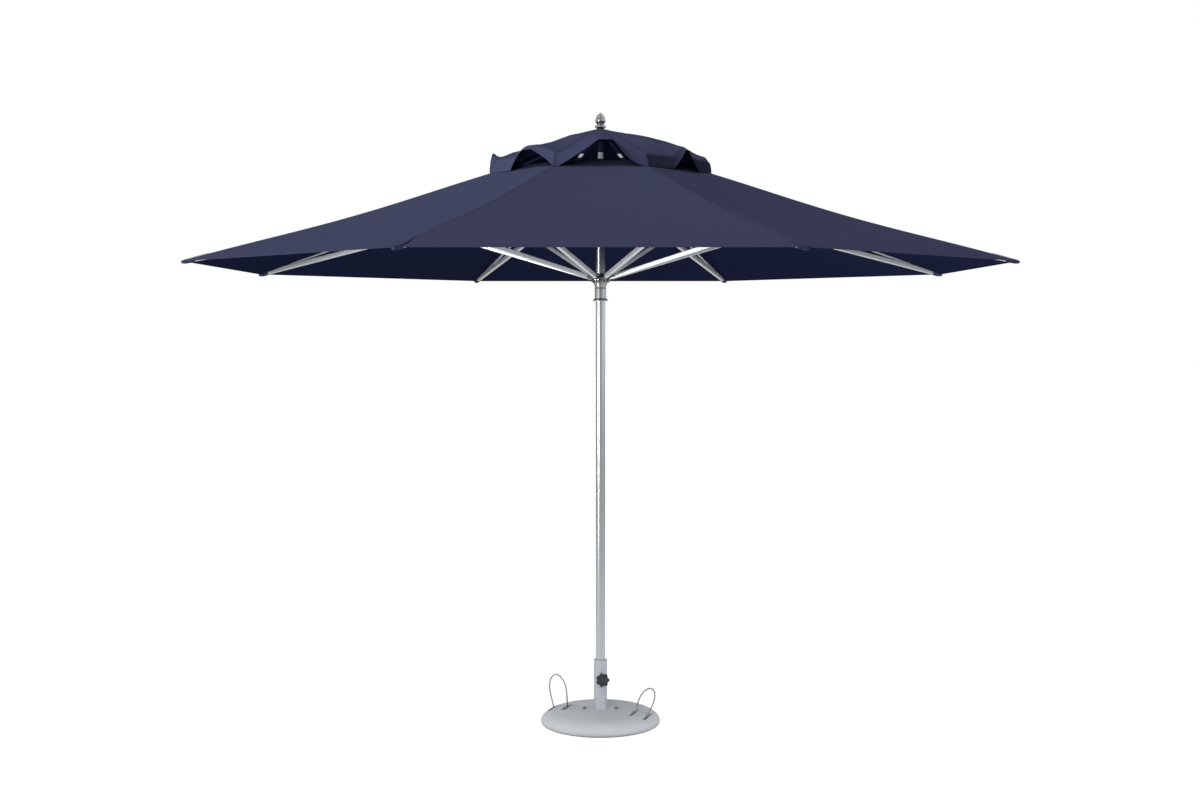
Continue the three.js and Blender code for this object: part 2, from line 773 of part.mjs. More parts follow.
// A strut lies along +X from its fork to the tongue that the runner holds.
function strut() {
  const bar = toSolid(alongX(chamferedRectangle(STRUT_WIDTH, STRUT_HEIGHT, 3), 20, STRUT_LENGTH - 24));
  const cheeks = toSolid(sidePlate(tongueShape(10, 30), STRUT_WIDTH));
  const forkGap = toSolid(block(-20, 18, -SLOT / 2, SLOT / 2, -20, 20));
  const pin = toSolid(crossPin(PIN_R, STRUT_WIDTH + 1, 6));
  const head = toSolid(crossPin(5.5, 3, 6).translate(0, STRUT_WIDTH / 2 + 1, 0));
  const nut = toSolid(crossPin(5.5, 3.5, 6).translate(0, -STRUT_WIDTH / 2 - 1, 0));
  const tongue = sidePlate(tongueShape(TONGUE_NOSE, 36), TONGUE);
  const foot = toSolid(tongue.rotateZ(Math.PI).translate(STRUT_LENGTH, 0, 0));
  const eye = toSolid(crossPin(EYE_R, 30, 6).translate(STRUT_LENGTH, 0, 0));
  const y = STRUT_WIDTH / 2 - BAR_WALL;
  const z = STRUT_HEIGHT / 2 - BAR_WALL;
  const inside = toSolid(block(17, STRUT_LENGTH - 38, -y, y, -z, z));
  return cut(union(cheeks.subtract(forkGap), bar, pin, head, nut, foot), inside, eye);
}

// ---------- Canopy ----------
// The height of the cloth's ridge over a rib: nearly straight from the apex to the tip, and a little slack.
function ridgeHeight(radius) {
  const along = (radius - VENT_HOLE_R) / (TIP_R - VENT_HOLE_R);
  return APEX_Z - ((APEX_Z - TIP_Z) * radius) / TIP_R - RIDGE_SAG * Math.sin(Math.PI * along) ** 2;
}

// One sector is the cloth between two panel middles, with the seam over its rib along X.
function canopySector() {
  const rows = 6;
  const across = 3;
  const half = SECTOR / 2;
  const grid = [];
  for (let i = 0; i <= rows; i++) {
    const t = i / rows;
    const ridgeR = VENT_HOLE_R + (TIP_R - VENT_HOLE_R) * t;
    const row = [];
    for (let j = -across; j <= across; j++) {
      const share = Math.abs(j) / across;
      const middle = ridgeR * Math.cos(half);
      const x = THREE.MathUtils.lerp(ridgeR, middle * Math.cos(half), share);
      const y = Math.sign(j) * THREE.MathUtils.lerp(0, middle * Math.sin(half) - SEAM_GAP, share);
      const sag = MID_SAG * Math.sin(Math.PI * t) * (1 - (1 - share) ** 2);
      row.push(new THREE.Vector3(x, y, ridgeHeight(ridgeR) - sag));
    }
    grid.push(row);
  }
  const cloth = toSolid(sheet(grid, FABRIC));
  return cloth.add(tipPocket());
}

// The sewn pocket that the planed end of the rib slips into, closed at the tip.
function tipPocket() {
  const low = TIP_Z - 18;
  const inner = TIP_R - 42;
  const shape = new THREE.Shape();
  const surface = (radius) => ridgeHeight(radius) - FABRIC / 2;
  shape.moveTo(inner, low + 2);
  shape.lineTo(TIP_R - 10, low);
  shape.lineTo(TIP_R - 4, low + 5);
  shape.lineTo(TIP_R - 2, surface(TIP_R - 2));
  shape.lineTo(inner, surface(inner));
  return toSolid(sidePlate(shape, 8));
}

// The vent cap: ridges over the eight arms end in drooping corners, and the hem arches up between them.
function ventCap() {
  const perSector = 4;
  const ridge = [
    [CAP_HOLE_R, CAP_TOP_Z, CAP_TOP_Z],
    [40, CAP_TOP_Z - 8, CAP_TOP_Z - 7.5],
    [164, 2878, 2880],
    [300, 2824, 2840],
    [440, 2773, 2810],
    [CAP_SHOULDER_R, CAP_SHOULDER_Z, CAP_ARCH_Z + 11],
    [CAP_CORNER_R, CAP_CORNER_Z, CAP_ARCH_Z],
  ];
  const grid = ridge.map(([radius, ridgeZ, middleZ]) => {
    const row = [];
    for (let j = 0; j < SIDES * perSector; j++) {
      const turn = (j % perSector) / perSector - 0.5;
      const share = 1 - 2 * Math.abs(turn);
      const blend = (1 - Math.cos(Math.PI * share)) / 2;
      const azimuth = FIRST_RIB + SECTOR * (j / perSector);
      const flat = (radius * Math.cos(SECTOR / 2)) / Math.cos(SECTOR * turn);
      const z = THREE.MathUtils.lerp(ridgeZ, middleZ, blend);
      row.push(new THREE.Vector3(flat * Math.cos(azimuth), flat * Math.sin(azimuth), z));
    }
    return row;
  });
  return sheet(grid, FABRIC, true);
}

// ---------- Assembly ----------
const umbrella = new THREE.Group();
umbrella.name = "patio_umbrella";

function addBase() {
  const base = new THREE.Group();
  base.add(named("base_body", baseBody(), FINISH.casting));
  base.add(named("foot_ring", footRing(), FINISH.rubber));
  base.add(named("flange_plate", flangePlate(), FINISH.steelPaint));
  for (const [name, side] of [["left", -1], ["right", 1]]) {
    const bolt = named("plate_bolt_" + name, plateBolt(), FINISH.zinc);
    bolt.position.set(side * PLATE_BOLT_X, 0, PLATE_TOP_Z + CLEARANCE);
    base.add(bolt);
  }
  base.add(named("sleeve_tube", sleeveTube(), FINISH.steelPaint));
  base.add(named("sleeve_foot_bush", sleeveFootBush(), FINISH.nylon));
  base.add(named("sleeve_top_bush", sleeveTopBush(), FINISH.paleNylon));

  const clamp = new THREE.Group();
  clamp.position.z = CLAMP_Z;
  clamp.rotation.z = CLAMP_TURN;
  clamp.add(named("clamp_boss", clampBoss(), FINISH.steelPaint));
  clamp.add(named("clamp_stud", clampStud(), FINISH.zinc));
  clamp.add(named("clamp_knob", clampKnob(), FINISH.nylon));
  base.add(clamp);

  addBail(base, "carry_handle_left", POCKET_AZIMUTH + Math.PI, 8, 5.5);
  addBail(base, "carry_handle_right", POCKET_AZIMUTH, 54, 0);
  umbrella.add(base);
}

// swing tips the loop round its lower bar, and lean turns it in its own plane.
function addBail(base, name, azimuth, swing, lean) {
  const pocket = new THREE.Group();
  pocket.rotation.z = azimuth;
  const pivot = new THREE.Group();
  pivot.position.set(POCKET_R, 0, BAIL_PIVOT_Z);
  pivot.rotation.x = -THREE.MathUtils.degToRad(swing);
  const loop = named(name, bail(), FINISH.zinc);
  loop.rotation.y = THREE.MathUtils.degToRad(lean);
  pivot.add(loop);
  pocket.add(pivot);
  base.add(pocket);
}

function addMast() {
  const mast = new THREE.Group();
  mast.add(named("mast_pole", mastPole(), FINISH.anodised));
  mast.add(named("pole_foot_plug", poleFootPlug(), FINISH.nylon));
  mast.add(named("pole_top_bush", poleTopBush(), FINISH.nylon));
  mast.add(named("crown_rod", crownRod(), FINISH.anodised));
  mast.add(named("crown_hub", crownHub(), FINISH.nylon));
  mast.add(named("vent_cap", ventCap(), FINISH.fabric));
  mast.add(named("cap_washer", capWasher(), FINISH.nylon));
  mast.add(named("finial", finial(), FINISH.chrome));
  const hub = new THREE.Group();
  hub.position.z = HUB_Z;
  hub.add(named("hub_body", hubBody(), FINISH.anodised));
  hub.add(named("hub_pivot_ring", pivotRing(), FINISH.zinc));
  mast.add(hub);
  const runner = new THREE.Group();
  runner.position.z = RUNNER_Z;
  runner.add(named("runner_body", runnerBody(), FINISH.chrome));
  runner.add(named("runner_bush", runnerBush(), FINISH.nylon));
  runner.add(named("runner_pivot_ring", pivotRing(), FINISH.zinc));
  const button = named("latch_button", latchButton(), FINISH.nylon);
  button.position.z = RUNNER_LATCH_Z - RUNNER_Z;
  runner.add(button);
  mast.add(runner);
  umbrella.add(mast);
}

function addSectors() {
  for (let k = 0; k < SIDES; k++) {
    const number = k + 1;
    const spoke = new THREE.Group();
    spoke.rotation.z = FIRST_RIB + k * SECTOR;
    const arm = named("rib_" + number, rib(), FINISH.anodised);
    arm.position.set(PIVOT_R, 0, HUB_Z);
    arm.rotation.y = RIB_SLOPE;
    spoke.add(arm);
    const brace = named("strut_" + number, strut(), FINISH.anodised);
    brace.position.set(LINK_R, 0, LINK_Z);
    brace.rotation.y = Math.PI - STRUT_SLOPE;
    spoke.add(brace);
    spoke.add(named("canopy_sector_" + number, canopySector(), FINISH.fabric));
    const lever = named("vent_arm_" + number, ventArm(), FINISH.nylon);
    lever.position.set(ARM_PIVOT_R, 0, ARM_PIVOT_Z);
    lever.rotation.y = ARM_SLOPE;
    spoke.add(lever);
    umbrella.add(spoke);
  }
}

addBase();
addMast();
addSectors();

export default umbrella;
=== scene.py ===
"""Octagonal patio umbrella in a round base: cloth, folding frame, mast and base as separate riding pieces."""

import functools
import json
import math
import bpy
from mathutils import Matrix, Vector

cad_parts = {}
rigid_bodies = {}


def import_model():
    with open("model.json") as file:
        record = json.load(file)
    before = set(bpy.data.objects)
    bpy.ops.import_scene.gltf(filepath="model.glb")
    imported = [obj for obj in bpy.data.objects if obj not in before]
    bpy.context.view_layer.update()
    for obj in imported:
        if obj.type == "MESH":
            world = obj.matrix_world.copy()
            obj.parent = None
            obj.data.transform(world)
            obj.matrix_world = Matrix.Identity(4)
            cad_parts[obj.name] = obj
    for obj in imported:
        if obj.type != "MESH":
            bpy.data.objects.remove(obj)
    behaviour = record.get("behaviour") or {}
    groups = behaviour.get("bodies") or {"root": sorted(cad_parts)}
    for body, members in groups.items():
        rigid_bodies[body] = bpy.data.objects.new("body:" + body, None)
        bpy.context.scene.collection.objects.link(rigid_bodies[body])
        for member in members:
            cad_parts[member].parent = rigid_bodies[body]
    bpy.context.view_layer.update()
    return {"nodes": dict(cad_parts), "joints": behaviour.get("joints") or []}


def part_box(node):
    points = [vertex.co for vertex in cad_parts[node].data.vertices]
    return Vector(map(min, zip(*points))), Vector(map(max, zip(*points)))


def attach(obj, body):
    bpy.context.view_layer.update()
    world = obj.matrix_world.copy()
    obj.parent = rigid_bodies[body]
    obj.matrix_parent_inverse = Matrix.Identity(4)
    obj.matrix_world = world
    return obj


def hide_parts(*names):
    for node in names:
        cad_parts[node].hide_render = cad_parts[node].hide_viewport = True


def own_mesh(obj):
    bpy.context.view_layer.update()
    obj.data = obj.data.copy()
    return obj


bl_info = {
    "name": "Patio Umbrella",
    "version": (1, 0, 0),
    "blender": (4, 5, 0),
    "location": "3D View > Sidebar > Umbrella",
    "description": "Builds the cloth, folding frame, mast and base of an octagonal patio umbrella",
    "category": "Object",
}

import bmesh
import bpy
import numpy as np
from bpy.props import FloatProperty, FloatVectorProperty, IntProperty, PointerProperty
from mathutils import Matrix, Vector

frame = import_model()
JOINTS = {joint["name"]: joint for joint in frame["joints"]}


# ---------- Places that the frame gives ----------
def joint_place(name):
    """Where a joint of the frame stands."""
    return Vector(JOINTS[name]["pos_m"])


SIDES = sum(1 for name in JOINTS if name.startswith("rib_"))
SPOKES = range(1, SIDES + 1)
SECTOR = 2 * math.pi / SIDES
HALF = SECTOR / 2
HUB_PIVOT = joint_place("rib_1_fold")
PIVOT_R = HUB_PIVOT.xy.length
HUB_Z = HUB_PIVOT.z
LINK_R = joint_place("strut_1_fold").xy.length
LINK_Z = joint_place("strut_1_fold").z
RUNNER_Z = joint_place("runner_level").z
ARM_PIVOT_R = joint_place("vent_arm_1_fold").xy.length
ARM_PIVOT_Z = joint_place("vent_arm_1_fold").z
RIB_SLOPE = math.radians(11.4)  # how far an open rib leans down from level
STRUT_SLOPE = math.atan2(HUB_Z - LINK_Z, LINK_R - PIVOT_R)
STRUT_LENGTH = math.hypot(LINK_R - PIVOT_R, HUB_Z - LINK_Z)
ARM_SLOPE = math.atan(0.3745)  # the same for a vent arm
TIP_R, TIP_Z = 2.0, 2.234  # the canopy's corners
APEX_Z = 2.857  # where the straight lines along the canopy's ridges would meet
SLANT = 1.047  # length along a ridge for each metre of radius
CLAMP_TURN = math.radians(10)  # how far the clamp points to the right of the front
AXIS = 1e-6  # a radius under this is on the axis


def shift(x, y, z):
    """A move without a turn."""
    return Matrix.Translation((x, y, z))


def spoke(k):
    """The upright frame of rib k: X runs outwards along the rib's plane."""
    pivot = joint_place(f"rib_{k}_fold")
    return Matrix.Rotation(math.atan2(pivot.y, pivot.x), 4, "Z")


def rib_frame(k):
    """A rib's own frame: X along it from its pivot, Z up."""
    return spoke(k) @ shift(PIVOT_R, 0, HUB_Z) @ Matrix.Rotation(RIB_SLOPE, 4, "Y")


def strut_frame(k):
    """A strut's own frame: X along it from its pin on the rib down to the runner."""
    return spoke(k) @ shift(LINK_R, 0, LINK_Z) @ Matrix.Rotation(math.pi - STRUT_SLOPE, 4, "Y")


def arm_frame(k):
    """A vent arm's own frame: X along it from its pivot, Z up."""
    return spoke(k) @ shift(ARM_PIVOT_R, 0, ARM_PIVOT_Z) @ Matrix.Rotation(ARM_SLOPE, 4, "Y")


def clamp_frame():
    """The clamp's own frame: its screw comes out along -Y."""
    return shift(0, 0, joint_place("clamp_turn").z) @ Matrix.Rotation(CLAMP_TURN, 4, "Z")


# ---------- Sizes and colours ----------
def length(name, description, default, low=0.0):
    """A length in metres."""
    return FloatProperty(name=name, description=description, default=default, min=low, unit="LENGTH",
                         precision=4)


def tint(name, description, default):
    """A plain colour."""
    return FloatVectorProperty(name=name, description=description, default=default, size=3, min=0, max=1,
                               subtype="COLOR")


def strength(name, description, default):
    """The strength of a distant or even light."""
    return FloatProperty(name=name, description=description, default=default, min=0)


def power(name, description, default):
    """The power of a soft box in watts."""
    return FloatProperty(name=name, description=description, default=default, min=0, unit="POWER")


class ClothSettings(bpy.types.PropertyGroup):
    """Sizes and colours of the canopy, the vent cap and their thread"""
    thickness: length("Cloth Thickness", "Thickness of the canopy cloth", 0.0012)
    sag: length("Panel Sag", "How far a panel's middle hangs under its ridges", 0.014)
    ridge_sag: length("Ridge Sag", "How far a ridge hangs under a straight line", 0.018)
    seam_width: length("Seam Width", "Width of the folded seam over each rib", 0.013)
    hem_width: length("Hem Width", "Width of the turned hem", 0.026)
    vent_radius: length("Vent Radius", "Radius of the canopy's vent hole at its corners", 0.455)
    stitch: length("Stitch Pitch", "Distance from one stitch to the next", 0.005, 0.002)
    thread_radius: length("Thread Radius", "Radius of the sewing thread", 0.0005)
    outer: tint("Outer Cloth", "Colour of the cloth from outside", (0.0440, 0.0480, 0.0920))
    # Inner Cloth is the same cloth painted darker, as painted shade on the canopy's underside
    inner: tint("Inner Cloth", "Colour of the cloth from below", (0.0115, 0.0150, 0.0420))
    thread: tint("Thread", "Colour of the stitches", (0.050, 0.055, 0.104))


class FoldingSettings(bpy.types.PropertyGroup):
    """Sizes and colour of the ribs, struts, battens and vent arms"""
    rib_width: length("Rib Width", "Width of the rib tube", 0.020)
    rib_height: length("Rib Height", "Height of the rib tube", 0.025)
    rib_length: length("Rib Length", "Length of the rib from its pivot", 1.947)
    planed: length("Planed End", "Length of the rib's tapered end", 0.125)
    planed_depth: FloatProperty(name="Planed Depth", description="Share of the height that the taper takes",
                                default=0.43, min=0, max=0.9, subtype="FACTOR")
    strut_width: length("Strut Width", "Width of the strut tube", 0.018)
    strut_height: length("Strut Height", "Height of the strut tube", 0.022)
    batten_width: length("Batten Width", "Width of the batten under the cloth's ridge", 0.012)
    batten_height: length("Batten Height", "Height of the batten", 0.007)
    batten_drop: length("Batten Drop", "Gap from the ridge's height to the batten", 0.0045)
    batten_inner: length("Batten Inner End", "Radius at which the batten ends by the vent", 0.472)
    batten_outer: length("Batten Outer End", "Radius at which the batten meets the rib", 1.800)
    arm_width: length("Arm Width", "Width of the vent arm's strip", 0.018)
    arm_thickness: length("Arm Thickness", "Thickness of the vent arm's strip", 0.006)
    arm_reach: length("Arm Reach", "Radius at which the vent arms end", 0.548)
    ring_wire: length("Ring Wire", "Radius of the wire rings that hold the tongues", 0.002)
    anodised: tint("Anodised", "Colour of the aluminium tubes", (0.62, 0.66, 0.68))


class MastSettings(bpy.types.PropertyGroup):
    """Size of the mast tube, and the colour of the plated pieces on it"""
    radius: length("Mast Radius", "Outside radius of the mast tube", 0.024)
    wall: length("Mast Wall", "Wall of the mast tube", 0.002)
    chrome: tint("Chrome", "Colour of the plated runner and finial", (0.36, 0.37, 0.38))


class BaseSettings(bpy.types.PropertyGroup):
    """Sizes and colours of the base, the sleeve, the clamp and the handles"""
    slot_offset: length("Slot Offset", "Distance of each slot from its handle's axis", 0.035)
    slot_length: length("Slot Length", "Length of a handle slot", 0.140)
    slot_width: length("Slot Width", "Width of a handle slot", 0.022)
    wire: length("Handle Wire", "Radius of the handles' wire", 0.0035)
    casting: tint("Casting", "Colour of the base", (0.63, 0.66, 0.69))
    paint: tint("Powder Coat", "Colour of the plate and the sleeve", (0.49, 0.53, 0.57))
    nylon: tint("Nylon", "Colour of the dark moulded pieces", (0.020, 0.024, 0.027))
    pale_nylon: tint("Pale Nylon", "Colour of the sleeve's collar", (0.44, 0.48, 0.51))
    zinc: tint("Zinc", "Colour of the plated bolts and wires", (0.40, 0.41, 0.42))
    rubber: tint("Rubber", "Colour of the foot ring", (0.022, 0.022, 0.024))
    lobes: IntProperty(name="Knob Lobes", description="Number of grips round the knob",
                       default=7, min=3, max=12)


class StageSettings(bpy.types.PropertyGroup):
    """Camera, lights and floor"""
    distance: length("Camera Distance", "Distance of the camera from the mast", 7.42)
    height: length("Camera Height", "Height of the camera over the floor", 1.919)
    lens: FloatProperty(name="Lens", description="Focal length of the camera", default=45.3, min=10,
                        unit="CAMERA")
    key: strength("Key Light", "Strength of the key light", 2.5)
    front: strength("Front Light", "Strength of the light from the front", 0.6)
    low: power("Low Light", "Power of the soft box in front of the base", 22)
    side: power("Side Light", "Power of the soft box on the left", 17)
    right: power("Right Light", "Power of the soft box on the right", 60)
    fill: strength("Fill", "Strength of the even light all round", 0.27)
    floor: tint("Floor", "Colour of the floor under the base", (0.3, 0.3, 0.3))


SETTINGS = {
    "umbrella_cloth": ClothSettings,
    "umbrella_folding": FoldingSettings,
    "umbrella_mast": MastSettings,
    "umbrella_base": BaseSettings,
    "umbrella_stage": StageSettings,
}


# ---------- Shader groups ----------
def connect(tree, made, inputs):
    """Sets a node's inputs; one that is a socket is linked."""
    for name, value in inputs.items():
        if isinstance(value, bpy.types.NodeSocket):
            tree.links.new(value, made.inputs[name])
        else:
            made.inputs[name].default_value = value
    return made


def add_node(tree, kind, inputs=None, **settings):
    """A new node with its settings and inputs."""
    made = tree.nodes.new(kind)
    for name, value in settings.items():
        setattr(made, name, value)
    return connect(tree, made, inputs or {})


def shader_group(name, inputs, outputs):
    """An empty shader group with its sockets, its inputs, and its last node."""
    tree = bpy.data.node_groups.new(name, "ShaderNodeTree")
    for label, kind, value in inputs:
        socket = tree.interface.new_socket(label, in_out="INPUT", socket_type="NodeSocket" + kind)
        socket.default_value = value
    for label, kind in outputs:
        tree.interface.new_socket(label, in_out="OUTPUT", socket_type="NodeSocket" + kind)
    return tree, tree.nodes.new("NodeGroupInput").outputs, tree.nodes.new("NodeGroupOutput")


def calc(tree, operation, a, b=0.0, c=None):
    """One step of arithmetic on numbers or sockets."""
    inputs = {0: a, 1: b}
    if c is not None:
        inputs[2] = c
    return add_node(tree, "ShaderNodeMath", inputs, operation=operation).outputs[0]


def varied(tree, value, amount, around=1.0, middle=0.5):
    """A level that goes up and down with a value's distance from its middle, times an amount."""
    return calc(tree, "MULTIPLY_ADD", calc(tree, "SUBTRACT", value, middle), amount, around)


def mixed(tree, factor, a, b):
    """One colour or the other by a factor."""
    made = add_node(tree, "ShaderNodeMix", data_type="RGBA")
    return connect(tree, made, {0: factor, 6: a, 7: b}).outputs[2]


def noise(tree, vector, scale, detail=3.0, roughness=0.5):
    """Smooth noise about 0.5."""
    inputs = {"Vector": vector, "Scale": scale, "Detail": detail, "Roughness": roughness}
    return add_node(tree, "ShaderNodeTexNoise", inputs).outputs[0]


def spread(tree, value, low, high, to_low=0.0, to_high=1.0):
    """A value carried over from one range to another, and held at its ends."""
    inputs = {"Value": value, "From Min": low, "From Max": high, "To Min": to_low, "To Max": to_high}
    return add_node(tree, "ShaderNodeMapRange", inputs).outputs[0]


def shade_of(tree, colour, factor):
    """A colour multiplied by a factor that changes over the surface."""
    inputs = {0: colour, "Scale": factor}
    return add_node(tree, "ShaderNodeVectorMath", inputs, operation="SCALE").outputs[0]


def stretched(tree, vector, factors):
    """A place with each of its parts multiplied by its own factor."""
    return add_node(tree, "ShaderNodeVectorMath", {0: vector, 1: factors}, operation="MULTIPLY").outputs[0]


def object_place(tree):
    """The place on the piece, in metres."""
    return tree.nodes.new("ShaderNodeTexCoord").outputs["Object"]


GRAY = (0.5, 0.5, 0.5, 1)
COLOUR_ROUGHNESS_HEIGHT = [("Colour", "Color"), ("Roughness", "Float"), ("Height", "Float")]


def weave_group():
    """Plain-woven cloth on a UV map in metres: crossed threads, slubs and a slow unevenness of colour."""
    tree, start, end = shader_group(
        "Plain Weave",
        [("Colour", "Color", GRAY), ("Thread Pitch", "Float", 0.0012), ("Unevenness", "Float", 0.06)],
        COLOUR_ROUGHNESS_HEIGHT,
    )
    uv = tree.nodes.new("ShaderNodeUVMap").outputs[0]
    place = object_place(tree)
    apart = add_node(tree, "ShaderNodeSeparateXYZ", {0: uv})
    turns = calc(tree, "DIVIDE", math.pi, start["Thread Pitch"])
    warp, weft = (calc(tree, "ABSOLUTE", calc(tree, "SINE", calc(tree, "MULTIPLY", way, turns)))
                  for way in apart.outputs[:2])
    threads = calc(tree, "MULTIPLY", warp, weft)
    slub = noise(tree, stretched(tree, uv, (60, 700, 1)), 1.0, 2.0)
    slow = noise(tree, place, 1.7, 4.0, 0.55)
    fine = noise(tree, place, 220.0, 2.0)
    tone = varied(tree, slow, start["Unevenness"])
    tone = varied(tree, slub, 0.10, tone)
    tone = varied(tree, fine, 0.08, tone)
    tone = varied(tree, threads, 0.14, tone, middle=0.4)
    connect(tree, end, {
        "Colour": shade_of(tree, start["Colour"], tone),
        "Roughness": spread(tree, slow, 0.3, 0.7, 0.80, 0.90),
        "Height": calc(tree, "MULTIPLY_ADD", fine, 0.3, threads),
    })
    return tree


def sewn_group():
    """Slightly pinched lines beside a seam or a hem, painted a little darker as painted shade in the pinch,
    from a distance kept as an attribute.
    """
    tree, start, end = shader_group(
        "Sewn Line",
        [("Colour", "Color", GRAY), ("Distance", "Float", 1.0), ("Line", "Float", 0.006),
         ("Softness", "Float", 0.0015)],
        [("Colour", "Color"), ("Height", "Float")],
    )
    off = calc(tree, "ABSOLUTE", calc(tree, "SUBTRACT", start["Distance"], start["Line"]))
    near = calc(tree, "SUBTRACT", 1.0, calc(tree, "DIVIDE", off, start["Softness"]))
    near = calc(tree, "MAXIMUM", near, 0.0)
    tone = calc(tree, "MULTIPLY_ADD", near, -0.05, 1.0)  # a twentieth darker on the line: painted shade in the pinch
    connect(tree, end, {
        "Colour": shade_of(tree, start["Colour"], tone),
        "Height": calc(tree, "MULTIPLY", near, -1.0),
    })
    return tree


def brushed_group():
    """Fine streaks along U on a UV map in metres, with faint smudges."""
    tree, start, end = shader_group(
        "Brushed Streaks",
        [("Colour", "Color", GRAY), ("Roughness", "Float", 0.3), ("Streaks", "Float", 0.1),
         ("Smudges", "Float", 0.06)],
        COLOUR_ROUGHNESS_HEIGHT,
    )
    uv = tree.nodes.new("ShaderNodeUVMap").outputs[0]
    streak = noise(tree, stretched(tree, uv, (9, 1500, 1)), 1.0, 3.0, 0.65)
    smudge = noise(tree, object_place(tree), 9.0, 4.0, 0.6)
    tone = varied(tree, streak, start["Streaks"])
    blot = calc(tree, "MULTIPLY", calc(tree, "SUBTRACT", smudge, 0.5), start["Smudges"])
    rough = varied(tree, streak, start["Streaks"], start["Roughness"])
    rough = calc(tree, "ADD", rough, calc(tree, "MULTIPLY", blot, 1.5))
    connect(tree, end, {
        "Colour": shade_of(tree, start["Colour"], calc(tree, "ADD", tone, blot)),
        "Roughness": calc(tree, "MAXIMUM", rough, 0.04),
        "Height": streak,
    })
    return tree


def cast_group():
    """Smooth moulded concrete: mottled tone, fine grain and a few pin holes, painted darker as painted shade
    in them.
    """
    tree, start, end = shader_group(
        "Cast Grain",
        [("Colour", "Color", GRAY), ("Roughness", "Float", 0.5), ("Mottle", "Float", 0.10),
         ("Grain", "Float", 0.08)],
        COLOUR_ROUGHNESS_HEIGHT,
    )
    place = object_place(tree)
    mottle = noise(tree, place, 7.0, 5.0, 0.6)
    grain = noise(tree, place, 420.0, 3.0, 0.7)
    cells = add_node(tree, "ShaderNodeTexVoronoi", {"Vector": place, "Scale": 70.0}, feature="F1")
    pit = spread(tree, cells.outputs["Distance"], 0.05, 0.11, 1.0, 0.0)
    rare = spread(tree, noise(tree, place, 21.0, 1.0), 0.56, 0.62)
    pit = calc(tree, "MULTIPLY", pit, rare)
    tone = varied(tree, mottle, start["Mottle"])
    tone = varied(tree, grain, start["Grain"], tone)
    # the pin holes painted darker: painted shade in the holes
    tone = calc(tree, "MULTIPLY_ADD", pit, -0.22, tone)
    connect(tree, end, {
        "Colour": shade_of(tree, start["Colour"], tone),
        "Roughness": varied(tree, mottle, 0.2, start["Roughness"]),
        "Height": calc(tree, "MULTIPLY_ADD", pit, -1.5, calc(tree, "MULTIPLY", grain, 0.5)),
    })
    return tree


def moulded_group():
    """Spark-eroded grain of moulded plastic and rubber, with dull rubbed places."""
    tree, start, end = shader_group(
        "Moulded Grain",
        [("Colour", "Color", GRAY), ("Roughness", "Float", 0.5), ("Grain Size", "Float", 1100.0)],
        COLOUR_ROUGHNESS_HEIGHT,
    )
    place = object_place(tree)
    grain = noise(tree, place, start["Grain Size"], 2.0)
    rubbed = noise(tree, place, 38.0, 4.0, 0.65)
    tone = varied(tree, grain, 0.20)
    tone = varied(tree, rubbed, 0.35, tone)
    connect(tree, end, {
        "Colour": shade_of(tree, start["Colour"], tone),
        "Roughness": varied(tree, rubbed, -0.25, start["Roughness"]),
        "Height": grain,
    })
    return tree


def wear_group():
    """Paler rubbed edges and dust in the hollows, from the attribute 'worn': 1 on an edge, 0 in a hollow."""
    tree, start, end = shader_group(
        "Edge Wear",
        [("Colour", "Color", GRAY), ("Bare", "Color", GRAY), ("Amount", "Float", 0.5),
         ("Dust", "Float", 0.3)],
        [("Colour", "Color"), ("Mask", "Float")],
    )
    worn = add_node(tree, "ShaderNodeAttribute", attribute_name="worn").outputs["Fac"]
    broken = noise(tree, object_place(tree), 85.0, 5.0, 0.7)
    edge = spread(tree, varied(tree, broken, 0.5, worn), 0.62, 0.82)
    edge = calc(tree, "MULTIPLY", edge, start["Amount"])
    hollow = calc(tree, "MULTIPLY", spread(tree, worn, 0.48, 0.30), start["Dust"])
    dusty = mixed(tree, hollow, start["Colour"], (0.19, 0.18, 0.17, 1))
    connect(tree, end, {"Colour": mixed(tree, edge, dusty, start["Bare"]), "Mask": edge})
    return tree


GROUPS = {}


def placed(tree, maker, inputs):
    """A shader group in a material; the group itself is made once."""
    if maker.__name__ not in GROUPS:
        GROUPS[maker.__name__] = maker()
    made = tree.nodes.new("ShaderNodeGroup")
    made.node_tree = GROUPS[maker.__name__]
    return connect(tree, made, inputs).outputs


def full(colour):
    """A colour with its alpha."""
    return (*colour, 1.0)


# ---------- Materials ----------
MATERIALS = {}


def made_once(maker):
    """Lets a maker dress a new material only the first time that its name comes up."""
    @functools.wraps(maker)
    def give(name, *values, **options):
        if name not in MATERIALS:
            material = bpy.data.materials.new(name)
            material.use_nodes = True
            tree = material.node_tree
            maker(tree, tree.nodes["Principled BSDF"], *values, **options)
            MATERIALS[name] = material
        return MATERIALS[name]
    return give


def surface(tree, shader, colour, roughness, height, depth, strength):
    """Links a finish to its shader, with a height in metres as a bump."""
    bump = add_node(tree, "ShaderNodeBump", {"Height": height, "Distance": depth, "Strength": strength})
    connect(tree, shader, {"Base Color": colour, "Roughness": roughness, "Normal": bump.outputs[0]})


def rubbed_colour(tree, made, bare, amount, dust):
    """The colour of a finish with its edges rubbed and its hollows dusty."""
    inputs = {"Colour": made["Colour"], "Bare": full(bare), "Amount": amount, "Dust": dust}
    return placed(tree, wear_group, inputs)["Colour"]


